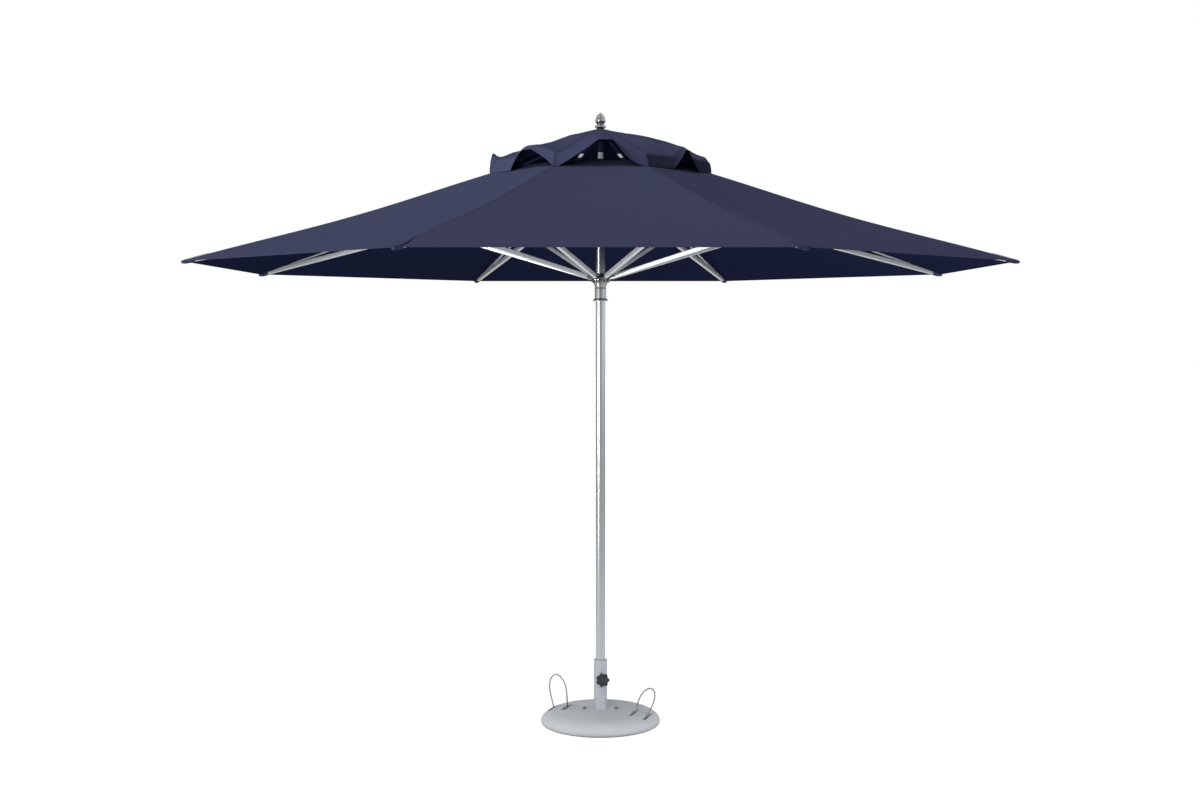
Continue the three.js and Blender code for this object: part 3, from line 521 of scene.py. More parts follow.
@made_once
def cloth_material(tree, shader, colour, sewn=True, unevenness=0.06):
    """Woven cloth with sewn lines beside its seams and hems."""
    woven = placed(tree, weave_group, {"Colour": full(colour), "Unevenness": unevenness})
    shown, height = woven["Colour"], woven["Height"]
    if sewn:
        cloth = bpy.context.scene.umbrella_cloth
        for attribute, line in (("seam", cloth.seam_width / 2), ("hem", cloth.hem_width)):
            away = add_node(tree, "ShaderNodeAttribute", attribute_name=attribute).outputs["Fac"]
            lines = placed(tree, sewn_group, {"Colour": shown, "Distance": away, "Line": line})
            shown = lines["Colour"]
            height = calc(tree, "MULTIPLY_ADD", lines["Height"], 2.0, height)
    surface(tree, shader, shown, woven["Roughness"], height, 0.00025, 0.55)
    shader.inputs["Specular IOR Level"].default_value = 0.0


@made_once
def metal_material(tree, shader, colour, roughness, streaks, smudges, wear=0.0, metallic=1.0):
    """Bare or plated metal with streaks along its length."""
    made = placed(tree, brushed_group,
                  {"Colour": full(colour), "Roughness": roughness, "Streaks": streaks, "Smudges": smudges})
    shown = made["Colour"]
    if wear:
        shown = rubbed_colour(tree, made, (min(1.0, c * 1.25 + 0.05) for c in colour), wear, 0.25)
    surface(tree, shader, shown, made["Roughness"], made["Height"], 0.00003, 0.35)
    shader.inputs["Metallic"].default_value = metallic


@made_once
def painted_material(tree, shader, colour):
    """Satin powder coat: a fine orange peel over mottled colour."""
    made = placed(tree, moulded_group, {"Colour": full(colour), "Roughness": 0.38, "Grain Size": 520.0})
    shown = rubbed_colour(tree, made, (0.62, 0.64, 0.66), 0.35, 0.3)
    surface(tree, shader, shown, made["Roughness"], made["Height"], 0.00008, 0.4)
    shader.inputs["Metallic"].default_value = 0.25


@made_once
def casting_material(tree, shader, colour):
    """Smooth casting with dull, slightly paler edges."""
    made = placed(tree, cast_group, {"Colour": full(colour), "Roughness": 0.42})
    shown = rubbed_colour(tree, made, (min(1.0, c * 1.12) for c in colour), 0.5, 0.25)
    surface(tree, shader, shown, made["Roughness"], made["Height"], 0.00025, 0.5)
    shader.inputs["Specular IOR Level"].default_value = 0.15


@made_once
def plastic_material(tree, shader, colour, roughness):
    """Moulded nylon or rubber."""
    made = placed(tree, moulded_group, {"Colour": full(colour), "Roughness": roughness})
    shown = rubbed_colour(tree, made, (c * 1.8 + 0.01 for c in colour), 0.6, 0.12)
    surface(tree, shader, shown, made["Roughness"], made["Height"], 0.00012, 0.5)


def anodised():
    """The matt aluminium of the ribs, struts and hub."""
    colour = bpy.context.scene.umbrella_folding.anodised
    return metal_material("anodised", colour, 0.42, 0.12, 0.10, 0.3, metallic=0.65)


def mast_metal():
    """The brighter aluminium of the mast."""
    colour = tuple(c * 0.9 for c in bpy.context.scene.umbrella_folding.anodised)
    return metal_material("mast_anodised", colour, 0.22, 0.04, 0.04)


def chrome():
    """The bright plating of the runner and the finial."""
    return metal_material("chrome", bpy.context.scene.umbrella_mast.chrome, 0.10, 0.05, 0.05)


def zinc():
    """The dull plating of bolts, pins, rivets and wires."""
    return metal_material("zinc", bpy.context.scene.umbrella_base.zinc, 0.36, 0.14, 0.20, 0.35)


def paint():
    """The powder coat of the plate, the sleeve and the clamp's boss."""
    return painted_material("powder_coat", bpy.context.scene.umbrella_base.paint)


def nylon():
    """The dark moulded pieces."""
    return plastic_material("nylon", bpy.context.scene.umbrella_base.nylon, 0.42)


def pale_nylon():
    """The pale collar at the sleeve's top."""
    return plastic_material("nylon_pale", bpy.context.scene.umbrella_base.pale_nylon, 0.42)


def rubber():
    """The ring that the base stands on."""
    return plastic_material("rubber", bpy.context.scene.umbrella_base.rubber, 0.75)


def casting():
    """The round base."""
    return casting_material("casting", bpy.context.scene.umbrella_base.casting)


def painted_shade_cloth():
    """The cloth painted darker as painted shade, as it looks from below; also round the crown rod and the
    vent arms.
    """
    return cloth_material("canopy_inside", bpy.context.scene.umbrella_cloth.inner, unevenness=0.05)


def thread():
    """The sewing thread of all seams."""
    return cloth_material("thread", bpy.context.scene.umbrella_cloth.thread, sewn=False, unevenness=0.1)


# ---------- Mesh helpers ----------
def linked(name, data):
    """A new object in the scene."""
    made = bpy.data.objects.new(name, data)
    bpy.context.collection.objects.link(made)
    return made


def soften(points, radius, steps=3):
    """A closed outline with its corners rounded; corners that are nearly straight stay as they are."""
    made = []
    for i, place in enumerate(points):
        here = Vector(place)
        back, ahead = Vector(points[i - 1]) - here, Vector(points[(i + 1) % len(points)]) - here
        reach = min(radius, back.length * 0.45, ahead.length * 0.45)
        if reach < 1e-5 or back.normalized().dot(ahead.normalized()) < -0.985:
            made.append(tuple(here))
            continue
        first, last = here + back.normalized() * reach, here + ahead.normalized() * reach
        for j in range(steps + 1):
            t = j / steps
            made.append(tuple((1 - t) ** 2 * first + 2 * t * (1 - t) * here + t * t * last))
    return made


def bezier(a, b, c, d, steps):
    """Points on a cubic between a and d."""
    a, b, c, d = map(Vector, (a, b, c, d))
    made = []
    for i in range(steps + 1):
        t = i / steps
        s = 1 - t
        made.append(tuple(s ** 3 * a + 3 * s * s * t * b + 3 * s * t * t * c + t ** 3 * d))
    return made


def arc(radius, start, end, steps, centre=(0.0, 0.0)):
    """Points from one angle to another."""
    return [(centre[0] + radius * math.cos(a), centre[1] + radius * math.sin(a))
            for a in np.linspace(start, end, steps)]


def circle(radius, steps, centre=(0.0, 0.0)):
    """A flat circle of points."""
    return [(centre[0] + radius * math.cos(2 * math.pi * i / steps),
             centre[1] + radius * math.sin(2 * math.pi * i / steps)) for i in range(steps)]


def make_mesh(points, faces, uvs=None):
    """A mesh with an optional UV for every corner of every face."""
    mesh = bpy.data.meshes.new("shape")
    mesh.from_pydata([tuple(p) for p in points], [], faces)
    layer = mesh.uv_layers.new(name="UVMap")
    if uvs is not None:
        layer.data.foreach_set("uv", np.array(uvs, np.float32).ravel())
    mesh.update()
    return mesh


def lathe(profile, steps, grain="around"):
    """Turns (radius, z) points, outside going up, about Z. Ends that are off the axis are joined.

    The UV map is in metres. U, along which metal is brushed, runs around the piece or along it.
    """
    points, rings, runs = [], [], [0.0]
    closed = profile[0][0] > AXIS and profile[-1][0] > AXIS
    for i, (radius, z) in enumerate(profile):
        if i:
            runs.append(runs[-1] + math.dist(profile[i - 1], profile[i]))
        if radius < AXIS:
            rings.append([len(points)] * (steps + 1))
            points.append((0.0, 0.0, z))
            continue
        first = len(points)
        for j in range(steps):
            angle = 2 * math.pi * j / steps
            points.append((radius * math.cos(angle), radius * math.sin(angle), z))
        rings.append([*range(first, first + steps), first])
    if closed:
        rings.append(rings[0])
        runs.append(runs[-1] + math.dist(profile[-1], profile[0]))
    mean = max(sum(r for r, _ in profile) / len(profile), 1e-4)
    faces, uvs = [], []
    for i in range(len(rings) - 1):
        for j in range(steps):
            corners = [(i, j), (i, j + 1), (i + 1, j + 1), (i + 1, j)]
            seen, face, spots = set(), [], []
            for row, column in corners:
                index = rings[row][column]
                if index in seen:
                    continue
                seen.add(index)
                face.append(index)
                around = 2 * math.pi * mean * column / steps
                spots.append((around, runs[row]) if grain == "around" else (runs[row], around))
            if len(face) > 2:
                faces.append(face)
                uvs.extend(spots)
    return make_mesh(points, faces, uvs)


def turned(profile, rounding, steps, grain="around"):
    """A closed section turned about Z, its corners rounded."""
    return lathe(soften(profile, rounding), steps, grain)


def plate(outlines, thickness, edge=0.0006, steps=2):
    """A flat plate in X and Y, with holes and rounded edges, its thickness centred on Z."""
    curve = bpy.data.curves.new("outline", "CURVE")
    curve.dimensions, curve.fill_mode = "2D", "BOTH"
    curve.extrude, curve.bevel_depth, curve.bevel_resolution = thickness / 2 - edge, edge, steps
    curve.offset = -edge
    for outline in outlines:
        spline = curve.splines.new("POLY")
        spline.points.add(len(outline) - 1)
        for point, (x, y) in zip(spline.points, outline):
            point.co = (x, y, 0, 1)
        spline.use_cyclic_u = True
    carrier = linked("outline", curve)
    mesh = settle(carrier)
    bpy.data.curves.remove(curve)
    return flat_uvs(merged(mesh))


def settle(carrier):
    """The evaluated shape of an object as a plain mesh; the object is removed."""
    evaluated = carrier.evaluated_get(bpy.context.evaluated_depsgraph_get())
    mesh = bpy.data.meshes.new_from_object(evaluated)
    bpy.data.objects.remove(carrier)
    return mesh


def merged(mesh, distance=1e-6):
    """The mesh with its doubles merged and its faces turned outwards."""
    shape = bmesh.new()
    shape.from_mesh(mesh)
    bmesh.ops.remove_doubles(shape, verts=shape.verts, dist=distance)
    bmesh.ops.recalc_face_normals(shape, faces=shape.faces)
    shape.to_mesh(mesh)
    shape.free()
    return mesh


def flat_uvs(mesh):
    """UVs in metres from the face's own direction, U along X wherever it can be."""
    places = mesh.vertices
    layer = mesh.uv_layers.get("UVMap") or mesh.uv_layers.new(name="UVMap")
    for face in mesh.polygons:
        x, y, z = (abs(c) for c in face.normal)
        for loop in face.loop_indices:
            p = places[mesh.loops[loop].vertex_index].co
            if x > y and x > z:
                layer.data[loop].uv = (p.z, p.y)
            elif y > z:
                layer.data[loop].uv = (p.x, p.z)
            else:
                layer.data[loop].uv = (p.x, p.y)
    return mesh


def box_shape(x0, x1, y0, y1, z0, z1, edge=0.001, segments=2):
    """A block with rounded edges."""
    corners = [(x, y, z) for x in (x0, x1) for y in (y0, y1) for z in (z0, z1)]
    faces = [(0, 1, 3, 2), (4, 6, 7, 5), (0, 4, 5, 1), (2, 3, 7, 6), (0, 2, 6, 4), (1, 5, 7, 3)]
    mesh = make_mesh(corners, faces)
    shape = bmesh.new()
    shape.from_mesh(mesh)
    bmesh.ops.bevel(shape, geom=shape.edges[:], offset=edge, segments=segments, affect="EDGES",
                    profile=0.5)
    bmesh.ops.recalc_face_normals(shape, faces=shape.faces)
    shape.to_mesh(mesh)
    shape.free()
    return flat_uvs(mesh)


ACROSS = Matrix.Rotation(math.pi / 2, 4, "X")  # a shape drawn in X and Y stands in X and Z; Z goes to -Y
ALONG = Matrix.Rotation(math.pi / 2, 4, "Y")  # a shape turned about Z lies along X
INTO = Matrix.Rotation(-math.pi / 2, 4, "X")  # a shape turned about Z lies along Y


def dome(radius, height):
    """A rivet head on Z = 0, sunk a little into what it sits on."""
    sunk, skirt = 0.0004, 0.15
    profile = [(0, -sunk), (radius, -sunk), (radius, height * skirt)]
    for a in (0.4, 0.8, 1.15):
        profile.append((radius * math.cos(a), height * (skirt + (1 - skirt) * math.sin(a))))
    return lathe([*profile, (0, height)], 16)


class Piece:
    """Gathers the shapes of one piece, each with its material, into one object."""

    def __init__(self, name):
        self.name = name
        self.shape = bmesh.new()
        self.shape.loops.layers.uv.new("UVMap")
        self.materials = []

    def add(self, mesh, place=None, material=None):
        """Adds a mesh at a place; the mesh may be used again."""
        copy = mesh.copy()
        if place is not None:
            copy.transform(place)
            if place.determinant() < 0:
                copy.flip_normals()
        if material is not None:
            if material not in self.materials:
                self.materials.append(material)
            number = self.materials.index(material)
            copy.polygons.foreach_set("material_index", [number] * len(copy.polygons))
        self.shape.from_mesh(copy)
        bpy.data.meshes.remove(copy)
        return self

    def finish(self, body, slot, *nodes, sharp=38.0):
        """Makes the object, with its wear attribute and smooth shading, and gives it to a body."""
        mesh = bpy.data.meshes.new(self.name)
        for layer in list(self.shape.loops.layers.uv):
            if layer.name != "UVMap":
                self.shape.loops.layers.uv.remove(layer)
        self.shape.to_mesh(mesh)
        self.shape.free()
        for material in self.materials:
            mesh.materials.append(material)
        worn_edges(mesh)
        mesh.shade_smooth()
        mesh.set_sharp_from_angle(angle=math.radians(sharp))
        made = linked(self.name, weighted(mesh))
        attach(made, body)
        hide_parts(*nodes)
        return made


def weighted(mesh):
    """The mesh with normals that follow its large faces, so that flats look flat beside rounded edges."""
    carrier = linked("carrier", mesh)
    modifier = carrier.modifiers.new("normals", "WEIGHTED_NORMAL")
    modifier.keep_sharp = True
    made = settle(carrier)
    made.name = mesh.name
    return made


def values_of(items, name, width, kind=float):
    """The same short vector of every item, as rows."""
    values = np.zeros(len(items) * width, kind)
    items.foreach_get(name, values)
    return values.reshape(-1, width)


def worn_edges(mesh):
    """Keeps how far a vertex stands out from its neighbours: 0.5 on a flat, 1 on an edge, 0 in a hollow."""
    count = len(mesh.vertices)
    places = values_of(mesh.vertices, "co", 3)
    normals = values_of(mesh.vertices, "normal", 3, np.float32)
    a, b = values_of(mesh.edges, "vertices", 2, np.int32).T
    along = places[a] - places[b]
    along /= np.maximum(np.linalg.norm(along, axis=1, keepdims=True), 1e-9)
    total, seen = np.zeros(count), np.zeros(count)
    np.add.at(total, a, np.einsum("ij,ij->i", along, normals[a]))
    np.add.at(total, b, -np.einsum("ij,ij->i", along, normals[b]))
    np.add.at(seen, a, 1)
    np.add.at(seen, b, 1)
    worn = np.clip(0.5 + total / np.maximum(seen, 1), 0, 1)
    mesh.attributes.new("worn", "FLOAT", "POINT").data.foreach_set("value", worn.astype(np.float32))


# ---------- Geometry node trees ----------
def geometry_tree(name, inputs):
    """An empty geometry tree with its sockets and a material, its inputs, and its last node."""
    tree = bpy.data.node_groups.new(name, "GeometryNodeTree")
    tree.interface.new_socket("Geometry", in_out="INPUT", socket_type="NodeSocketGeometry")
    for label, kind, value in inputs:
        socket = tree.interface.new_socket(label, in_out="INPUT", socket_type="NodeSocket" + kind)
        socket.default_value = value
    tree.interface.new_socket("Material", in_out="INPUT", socket_type="NodeSocketMaterial")
    tree.interface.new_socket("Geometry", in_out="OUTPUT", socket_type="NodeSocketGeometry")
    return tree, tree.nodes.new("NodeGroupInput").outputs, tree.nodes.new("NodeGroupOutput")


def close_tree(tree, start, end, geometry):
    """Ends a tree in plain geometry that carries its material."""
    real = add_node(tree, "GeometryNodeRealizeInstances", {"Geometry": geometry}).outputs[0]
    dressed = add_node(tree, "GeometryNodeSetMaterial",
                       {"Geometry": real, "Material": start["Material"]})
    tree.links.new(dressed.outputs[0], end.inputs[0])
    return tree


def curve_of(tree, start):
    """The incoming edges as a curve."""
    return add_node(tree, "GeometryNodeMeshToCurve", {"Mesh": start["Geometry"]}).outputs[0]


def swept(tree, start, section):
    """A section swept along the incoming line, with points at an even spacing and its ends closed."""
    even = add_node(tree, "GeometryNodeResampleCurve",
                    {"Curve": curve_of(tree, start), "Length": start["Spacing"]}, mode="LENGTH")
    return add_node(tree, "GeometryNodeCurveToMesh",
                    {"Curve": even.outputs[0], "Profile Curve": section, "Fill Caps": True}).outputs[0]


def stitch_tree():
    """Short threads laid end to end along a line."""
    tree, start, end = geometry_tree("Stitched Line", [
        ("Pitch", "Float", 0.005), ("Thread Radius", "Float", 0.0005), ("Run", "Float", 0.72)])
    points = add_node(tree, "GeometryNodeCurveToPoints",
                      {"Curve": curve_of(tree, start), "Length": start["Pitch"]}, mode="LENGTH")
    depth = calc(tree, "MULTIPLY", start["Pitch"], start["Run"])
    strand = add_node(tree, "GeometryNodeMeshCylinder",
                      {"Vertices": 5, "Radius": start["Thread Radius"], "Depth": depth})
    laid = add_node(tree, "GeometryNodeInstanceOnPoints", {
        "Points": points.outputs["Points"], "Instance": strand.outputs[0],
        "Rotation": points.outputs["Rotation"]})
    return close_tree(tree, start, end, laid.outputs[0])


def wire_tree():
    """A round wire along a line."""
    tree, start, end = geometry_tree("Round Wire", [
        ("Radius", "Float", 0.002), ("Sides", "Int", 16), ("Spacing", "Float", 0.003)])
    section = add_node(tree, "GeometryNodeCurvePrimitiveCircle",
                       {"Resolution": start["Sides"], "Radius": start["Radius"]})
    return close_tree(tree, start, end, swept(tree, start, section.outputs[0]))


def bar_tree():
    """A round-cornered bar along a line."""
    tree, start, end = geometry_tree("Round-Cornered Bar", [
        ("Width", "Float", 0.02), ("Height", "Float", 0.028), ("Corner", "Float", 0.004),
        ("Spacing", "Float", 0.03)])
    section = add_node(tree, "GeometryNodeCurvePrimitiveQuadrilateral",
                       {"Width": start["Width"], "Height": start["Height"]}).outputs[0]
    rounded = add_node(tree, "GeometryNodeFilletCurve",
                       {"Curve": section, "Count": 4, "Radius": start["Corner"]}, mode="POLY")
    return close_tree(tree, start, end, swept(tree, start, rounded.outputs[0]))


def ring_tree():
    """Copies of a shape turned about Z."""
    tree, start, end = geometry_tree("Ring of Copies", [("Count", "Int", 8), ("First Turn", "Float", 0.0)])
    count = start["Count"]
    stack = add_node(tree, "GeometryNodeMeshLine", {"Count": count, "Offset": (0, 0, 0)}).outputs[0]
    number = tree.nodes.new("GeometryNodeInputIndex").outputs[0]
    step = calc(tree, "DIVIDE", 2 * math.pi, count)
    turn = calc(tree, "MULTIPLY_ADD", number, step, start["First Turn"])
    angles = add_node(tree, "ShaderNodeCombineXYZ", {2: turn}).outputs[0]
    facing = add_node(tree, "FunctionNodeEulerToRotation", {0: angles}).outputs[0]
    copies = add_node(tree, "GeometryNodeInstanceOnPoints", {
        "Points": stack, "Instance": start["Geometry"], "Rotation": facing})
    return close_tree(tree, start, end, copies.outputs[0])


TREES = {}


def grown(maker, mesh, material, **inputs):
    """A mesh run through a geometry tree, as a plain mesh; the tree itself is made once."""
    if maker.__name__ not in TREES:
        TREES[maker.__name__] = maker()
    tree = TREES[maker.__name__]
    carrier = linked("carrier", mesh)
    modifier = carrier.modifiers.new("Nodes", "NODES")
    modifier.node_group = tree
    wanted = {name.replace("_", " ").title(): value for name, value in inputs.items()}
    wanted["Material"] = material
    for item in tree.interface.items_tree:
        if item.item_type == "SOCKET" and item.in_out == "INPUT" and item.name in wanted:
            modifier[item.identifier] = wanted[item.name]
    return settle(carrier)


def line_mesh(points, closed=False):
    """Points joined by edges."""
    count = len(points)
    edges = [(i, (i + 1) % count) for i in range(count if closed else count - 1)]
    mesh = bpy.data.meshes.new("line")
    mesh.from_pydata([tuple(p) for p in points], edges, [])
    return mesh


def wire(points, radius, material, sides, spacing, closed=False):
    """A round wire through points."""
    line = line_mesh(points, closed)
    return flat_uvs(merged(grown(wire_tree, line, material, radius=radius, sides=sides, spacing=spacing)))


def bar(x0, x1, width, height, corner, material, spacing=0.03):
    """A round-cornered bar along X."""
    line = line_mesh([(x0, 0, 0), (x1, 0, 0)])
    return flat_uvs(merged(grown(bar_tree, line, material, width=width, height=height, corner=corner,
                                 spacing=spacing)))


def ring_of(mesh, count, material, first_turn=0.0):
    """Copies of a mesh, evenly round Z."""
    return grown(ring_tree, mesh, material, count=count, first_turn=first_turn)


def stitches(lines):
    """Stitches along several lines, as one mesh."""
    points, edges = [], []
    for line in lines:
        first = len(points)
        points += [tuple(p) for p in line]
        edges += [(first + i, first + i + 1) for i in range(len(line) - 1)]
    mesh = bpy.data.meshes.new("seams")
    mesh.from_pydata(points, edges, [])
    cloth = bpy.context.scene.umbrella_cloth
    return flat_uvs(grown(stitch_tree, mesh, thread(), pitch=cloth.stitch, thread_radius=cloth.thread_radius,
                          run=STITCH_RUN))


# ---------- Cloth ----------
STITCH_RUN = 0.72  # share of the pitch that a stitch shows on the cloth
FOLD_LIFT = 0.0006  # how far a folded seam or a turned hem stands over the single cloth


def ridge_height(cloth, radius):
    """Height of the canopy's ridge over a rib: nearly straight from apex to tip, and a little slack."""
    along = (radius - cloth.vent_radius) / (TIP_R - cloth.vent_radius)
    return APEX_Z - (APEX_Z - TIP_Z) * radius / TIP_R - cloth.ridge_sag * math.sin(math.pi * along) ** 2


def cloth_shell(grid, thickness, spots, seam, hem, lift):
    """A thin closed cloth through a grid of points, with its other face set back along the normals.

    The outer face stands out by lift. The first material is the outside, the second the inside.
    """
    rows, columns = grid.shape[:2]
    down = np.empty_like(grid)
    down[1:-1], down[0], down[-1] = grid[2:] - grid[:-2], grid[1] - grid[0], grid[-1] - grid[-2]
    across = np.empty_like(grid)
    across[:, 1:-1] = grid[:, 2:] - grid[:, :-2]
    across[:, 0], across[:, -1] = grid[:, 1] - grid[:, 0], grid[:, -1] - grid[:, -2]
    normals = np.cross(down, across)
    normals /= np.linalg.norm(normals, axis=2, keepdims=True)
    outer = grid + normals * lift[..., None]
    inner = grid - normals * thickness
    points = np.concatenate([outer.reshape(-1, 3), inner.reshape(-1, 3)])
    count = rows * columns
    index = np.arange(count).reshape(rows, columns)
    a, b, c, d = index[:-1, :-1], index[1:, :-1], index[1:, 1:], index[:-1, 1:]
    top = np.stack([a, b, c, d], axis=-1).reshape(-1, 4)
    low = np.stack([a, d, c, b], axis=-1).reshape(-1, 4) + count
    border = np.concatenate([index[0, :-1], index[:-1, -1], index[-1, :0:-1], index[:0:-1, 0]])
    after = np.roll(border, -1)
    rim = np.stack([border, after, after + count, border + count], axis=-1)
    faces = np.concatenate([top, low, rim])
    uvs = np.concatenate([spots.reshape(-1, 2)] * 2)[faces.ravel()]
    mesh = make_mesh(points, faces.tolist(), uvs)
    mesh.polygons.foreach_set("material_index", [0] * len(top) + [1] * len(low) + [0] * len(rim))
    for name, values in (("seam", seam), ("hem", hem)):
        layer = mesh.attributes.new(name, "FLOAT", "POINT")
        layer.data.foreach_set("value", np.concatenate([values.ravel()] * 2).astype(np.float32))
    return mesh, outer


def cloth_object(name, mesh, place, materials, body, cad_node):
    """Finishes one sector of cloth: it rides on its bar."""
    mesh.transform(place)
    for material in materials:
        mesh.materials.append(material)
    mesh.shade_smooth()
    mesh.set_sharp_from_angle(angle=math.radians(50))
    made = linked(name, mesh)
    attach(made, body)
    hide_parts(cad_node)
    gather(made)
    return made


def gather(made):
    """Gives a sector its own copy of its mesh."""
    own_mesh(made)


def cloth_trim(name, meshes, place, material, body, cad_node):
    """Stitches or a sewn patch that goes with a sector."""
    piece = Piece(name)
    for mesh in meshes:
        piece.add(mesh, place, material)
    made = piece.finish(body, "fabric", cad_node)
    gather(made)
    return made


SEAM_PLACES = [0.0, 0.003, 0.0058, 0.0072, 0.0088, 0.013, 0.020, 0.030, 0.045]  # columns beside a ridge
HEM_PLACES = [0.0, 0.004, 0.010, 0.018, 0.0235, 0.0285, 0.036, 0.05, 0.075, 0.11]  # rows beside a hem
STITCH_COLUMN, STITCH_ROW = 2, 4  # those of them that carry the stitches


def pucker_of(step, places):
    """Small gathers beside a ridge's seam, alternating along it, and none on the seam itself."""
    wave = np.sin(step * 2 * math.pi / 0.031 + 1.3 * np.sign(places))
    pucker = 0.0006 * wave * np.exp(-np.abs(places) / 0.022)
    return pucker * np.clip((np.abs(places) - 0.0072) / 0.006, 0, 1)


def canopy_grid(cloth):
    """One sector in its spoke's frame: points, UVs, and distances from the seam and from the hems."""
    run = TIP_R - cloth.vent_radius
    edge = HEM_PLACES[-1]
    steps = sorted(set(HEM_PLACES) | {run - s for s in HEM_PLACES} | set(np.linspace(edge, run - edge, 44)))
    grid, spots, seams, hems = [], [], [], []
    for step in steps:
        ridge = cloth.vent_radius + step
        half_width = ridge * math.cos(HALF) * math.sin(HALF)
        places = np.concatenate([SEAM_PLACES, np.linspace(SEAM_PLACES[-1], half_width, 16)[1:]])
        places = np.concatenate([-places[:0:-1], places])
        share = np.abs(places) / half_width
        x = ridge - share * ridge * math.sin(HALF) ** 2
        sag = cloth.sag * math.sin(math.pi * step / run) * (1 - (1 - share) ** 2)
        ease = 0.0016 * np.exp(-(places / 0.016) ** 2)  # the ridge is blunt, not knife-sharp
        z = ridge_height(cloth, ridge) - sag + pucker_of(step, places) - ease
        grid.append(np.stack([x, places, z], axis=-1))
        spots.append(np.stack([np.full(len(places), step * SLANT), places / math.cos(HALF)], axis=-1))
        seams.append(np.abs(places))
        hems.append(np.full(len(places), min(step, run - step)))
    return np.array(grid), np.array(spots), np.array(seams), np.array(hems)


def sewn_lift(cloth, seams, hems):
    """How far the folded seam and the turned hems stand over the single cloth."""
    seam = np.clip((cloth.seam_width / 2 + 0.0012 - seams) / 0.0014, 0, 1)
    hem = np.clip((cloth.hem_width + 0.0015 - hems) / 0.003, 0, 1)
    return (seam + hem) * FOLD_LIFT


def canopy_stitches(outer):
    """Two rows beside the ridge, and one row along each hem."""
    rows, columns = outer.shape[:2]
    lines = [outer[1:rows - 1, columns // 2 + side * STITCH_COLUMN] for side in (-1, 1)]
    lines += [outer[row] for row in (STITCH_ROW, rows - 1 - STITCH_ROW)]
    return stitches([line + (0, 0, 0.0001) for line in lines])


def corner_pouch(cloth):
    """The pouch under the canopy's corner that takes the rib's end."""
    sections = [(1.942, 0.0128, 0.0214), (1.958, 0.0125, 0.0205), (1.978, 0.0125, 0.0180),
                (1.992, 0.0112, 0.0140), (2.000, 0.0080, 0.0080)]  # radius, half width and depth
    steps, squareness = 14, 0.6
    points = []
    for x, wide, deep in sections:
        top = ridge_height(cloth, x) - 0.0008
        for j in range(steps):
            angle = 2 * math.pi * j / steps
            c, s = math.cos(angle), math.sin(angle)
            y = wide * math.copysign(abs(c) ** squareness, c)
            z = top - deep / 2 + deep / 2 * math.copysign(abs(s) ** squareness, s)
            points.append((x, y, z))
    faces = []
    for first in range(0, len(points) - steps, steps):
        for j in range(steps):
            after = (j + 1) % steps
            faces.append((first + j, first + after, first + steps + after, first + steps + j))
    faces.append(tuple(reversed(range(steps))))
    faces.append(tuple(range(len(points) - steps, len(points))))
    return flat_uvs(merged(make_mesh(points, faces)))


def corner_patch(cloth):
    """The patch that is sewn over the canopy's corner."""
    spans = [(1.880, 0.010), (1.9, 0.017), (1.93, 0.020), (1.96, 0.0205), (1.985, 0.0155),
             (1.9985, 0.0030)]  # radius and half width
    slope = math.tan(HALF) * (APEX_Z - TIP_Z) / TIP_R * 0.35  # the patch bends less sharply than the ridge
    columns, rows = 9, len(spans)
    points, faces = [], []
    for level in (0.0021, 0.0009):  # its upper and its lower face over the ridge
        for x, wide in spans:
            for y in np.linspace(-wide, wide, columns):
                points.append((x, float(y), ridge_height(cloth, x) - abs(y) * slope + level))
    size = columns * rows
    for i in range(rows - 1):
        for j in range(columns - 1):
            a = i * columns + j
            quad = (a, a + columns, a + columns + 1, a + 1)
            faces.append(quad)
            faces.append(tuple(size + q for q in reversed(quad)))
    border = [*range(columns)] + [i * columns + columns - 1 for i in range(1, rows)]
    border += [size - 1 - i for i in range(1, columns)]
    border += [(rows - 1 - i) * columns for i in range(1, rows - 1)]
    for a, b in zip(border, border[1:] + border[:1]):
        faces.append((a, b, b + size, a + size))
    return flat_uvs(merged(make_mesh(points, faces)))


class UMBRELLA_OT_canopy(bpy.types.Operator):
    """Builds the eight sectors of the canopy as one continuous cloth, with seams, hems and corner pockets"""
    bl_idname = "umbrella.build_canopy"
    bl_label = "Build Canopy"

    def execute(self, context):
        cloth = context.scene.umbrella_cloth
        outside = cloth_material("canopy_outside", cloth.outer)
        grid, spots, seams, hems = canopy_grid(cloth)
        lift = sewn_lift(cloth, seams, hems)
        mesh, outer = cloth_shell(grid, cloth.thickness, spots, seams, hems, lift)
        threads = canopy_stitches(outer)
        pouch, patch = corner_pouch(cloth), corner_patch(cloth)
        for k in SPOKES:
            place, body, joint = spoke(k), f"rib_{k}", f"rib_{k}_fold"
            node = f"canopy_sector_{k}"
            cloth_object(f"canopy_cloth_{k}", mesh.copy(), place, (outside, painted_shade_cloth()), body, node)
            cloth_trim(f"canopy_stitching_{k}", [threads], place, thread(), body, node)
            cloth_trim(f"tip_pocket_{k}", [pouch, patch], place, outside, body, node)
        return {"FINISHED"}


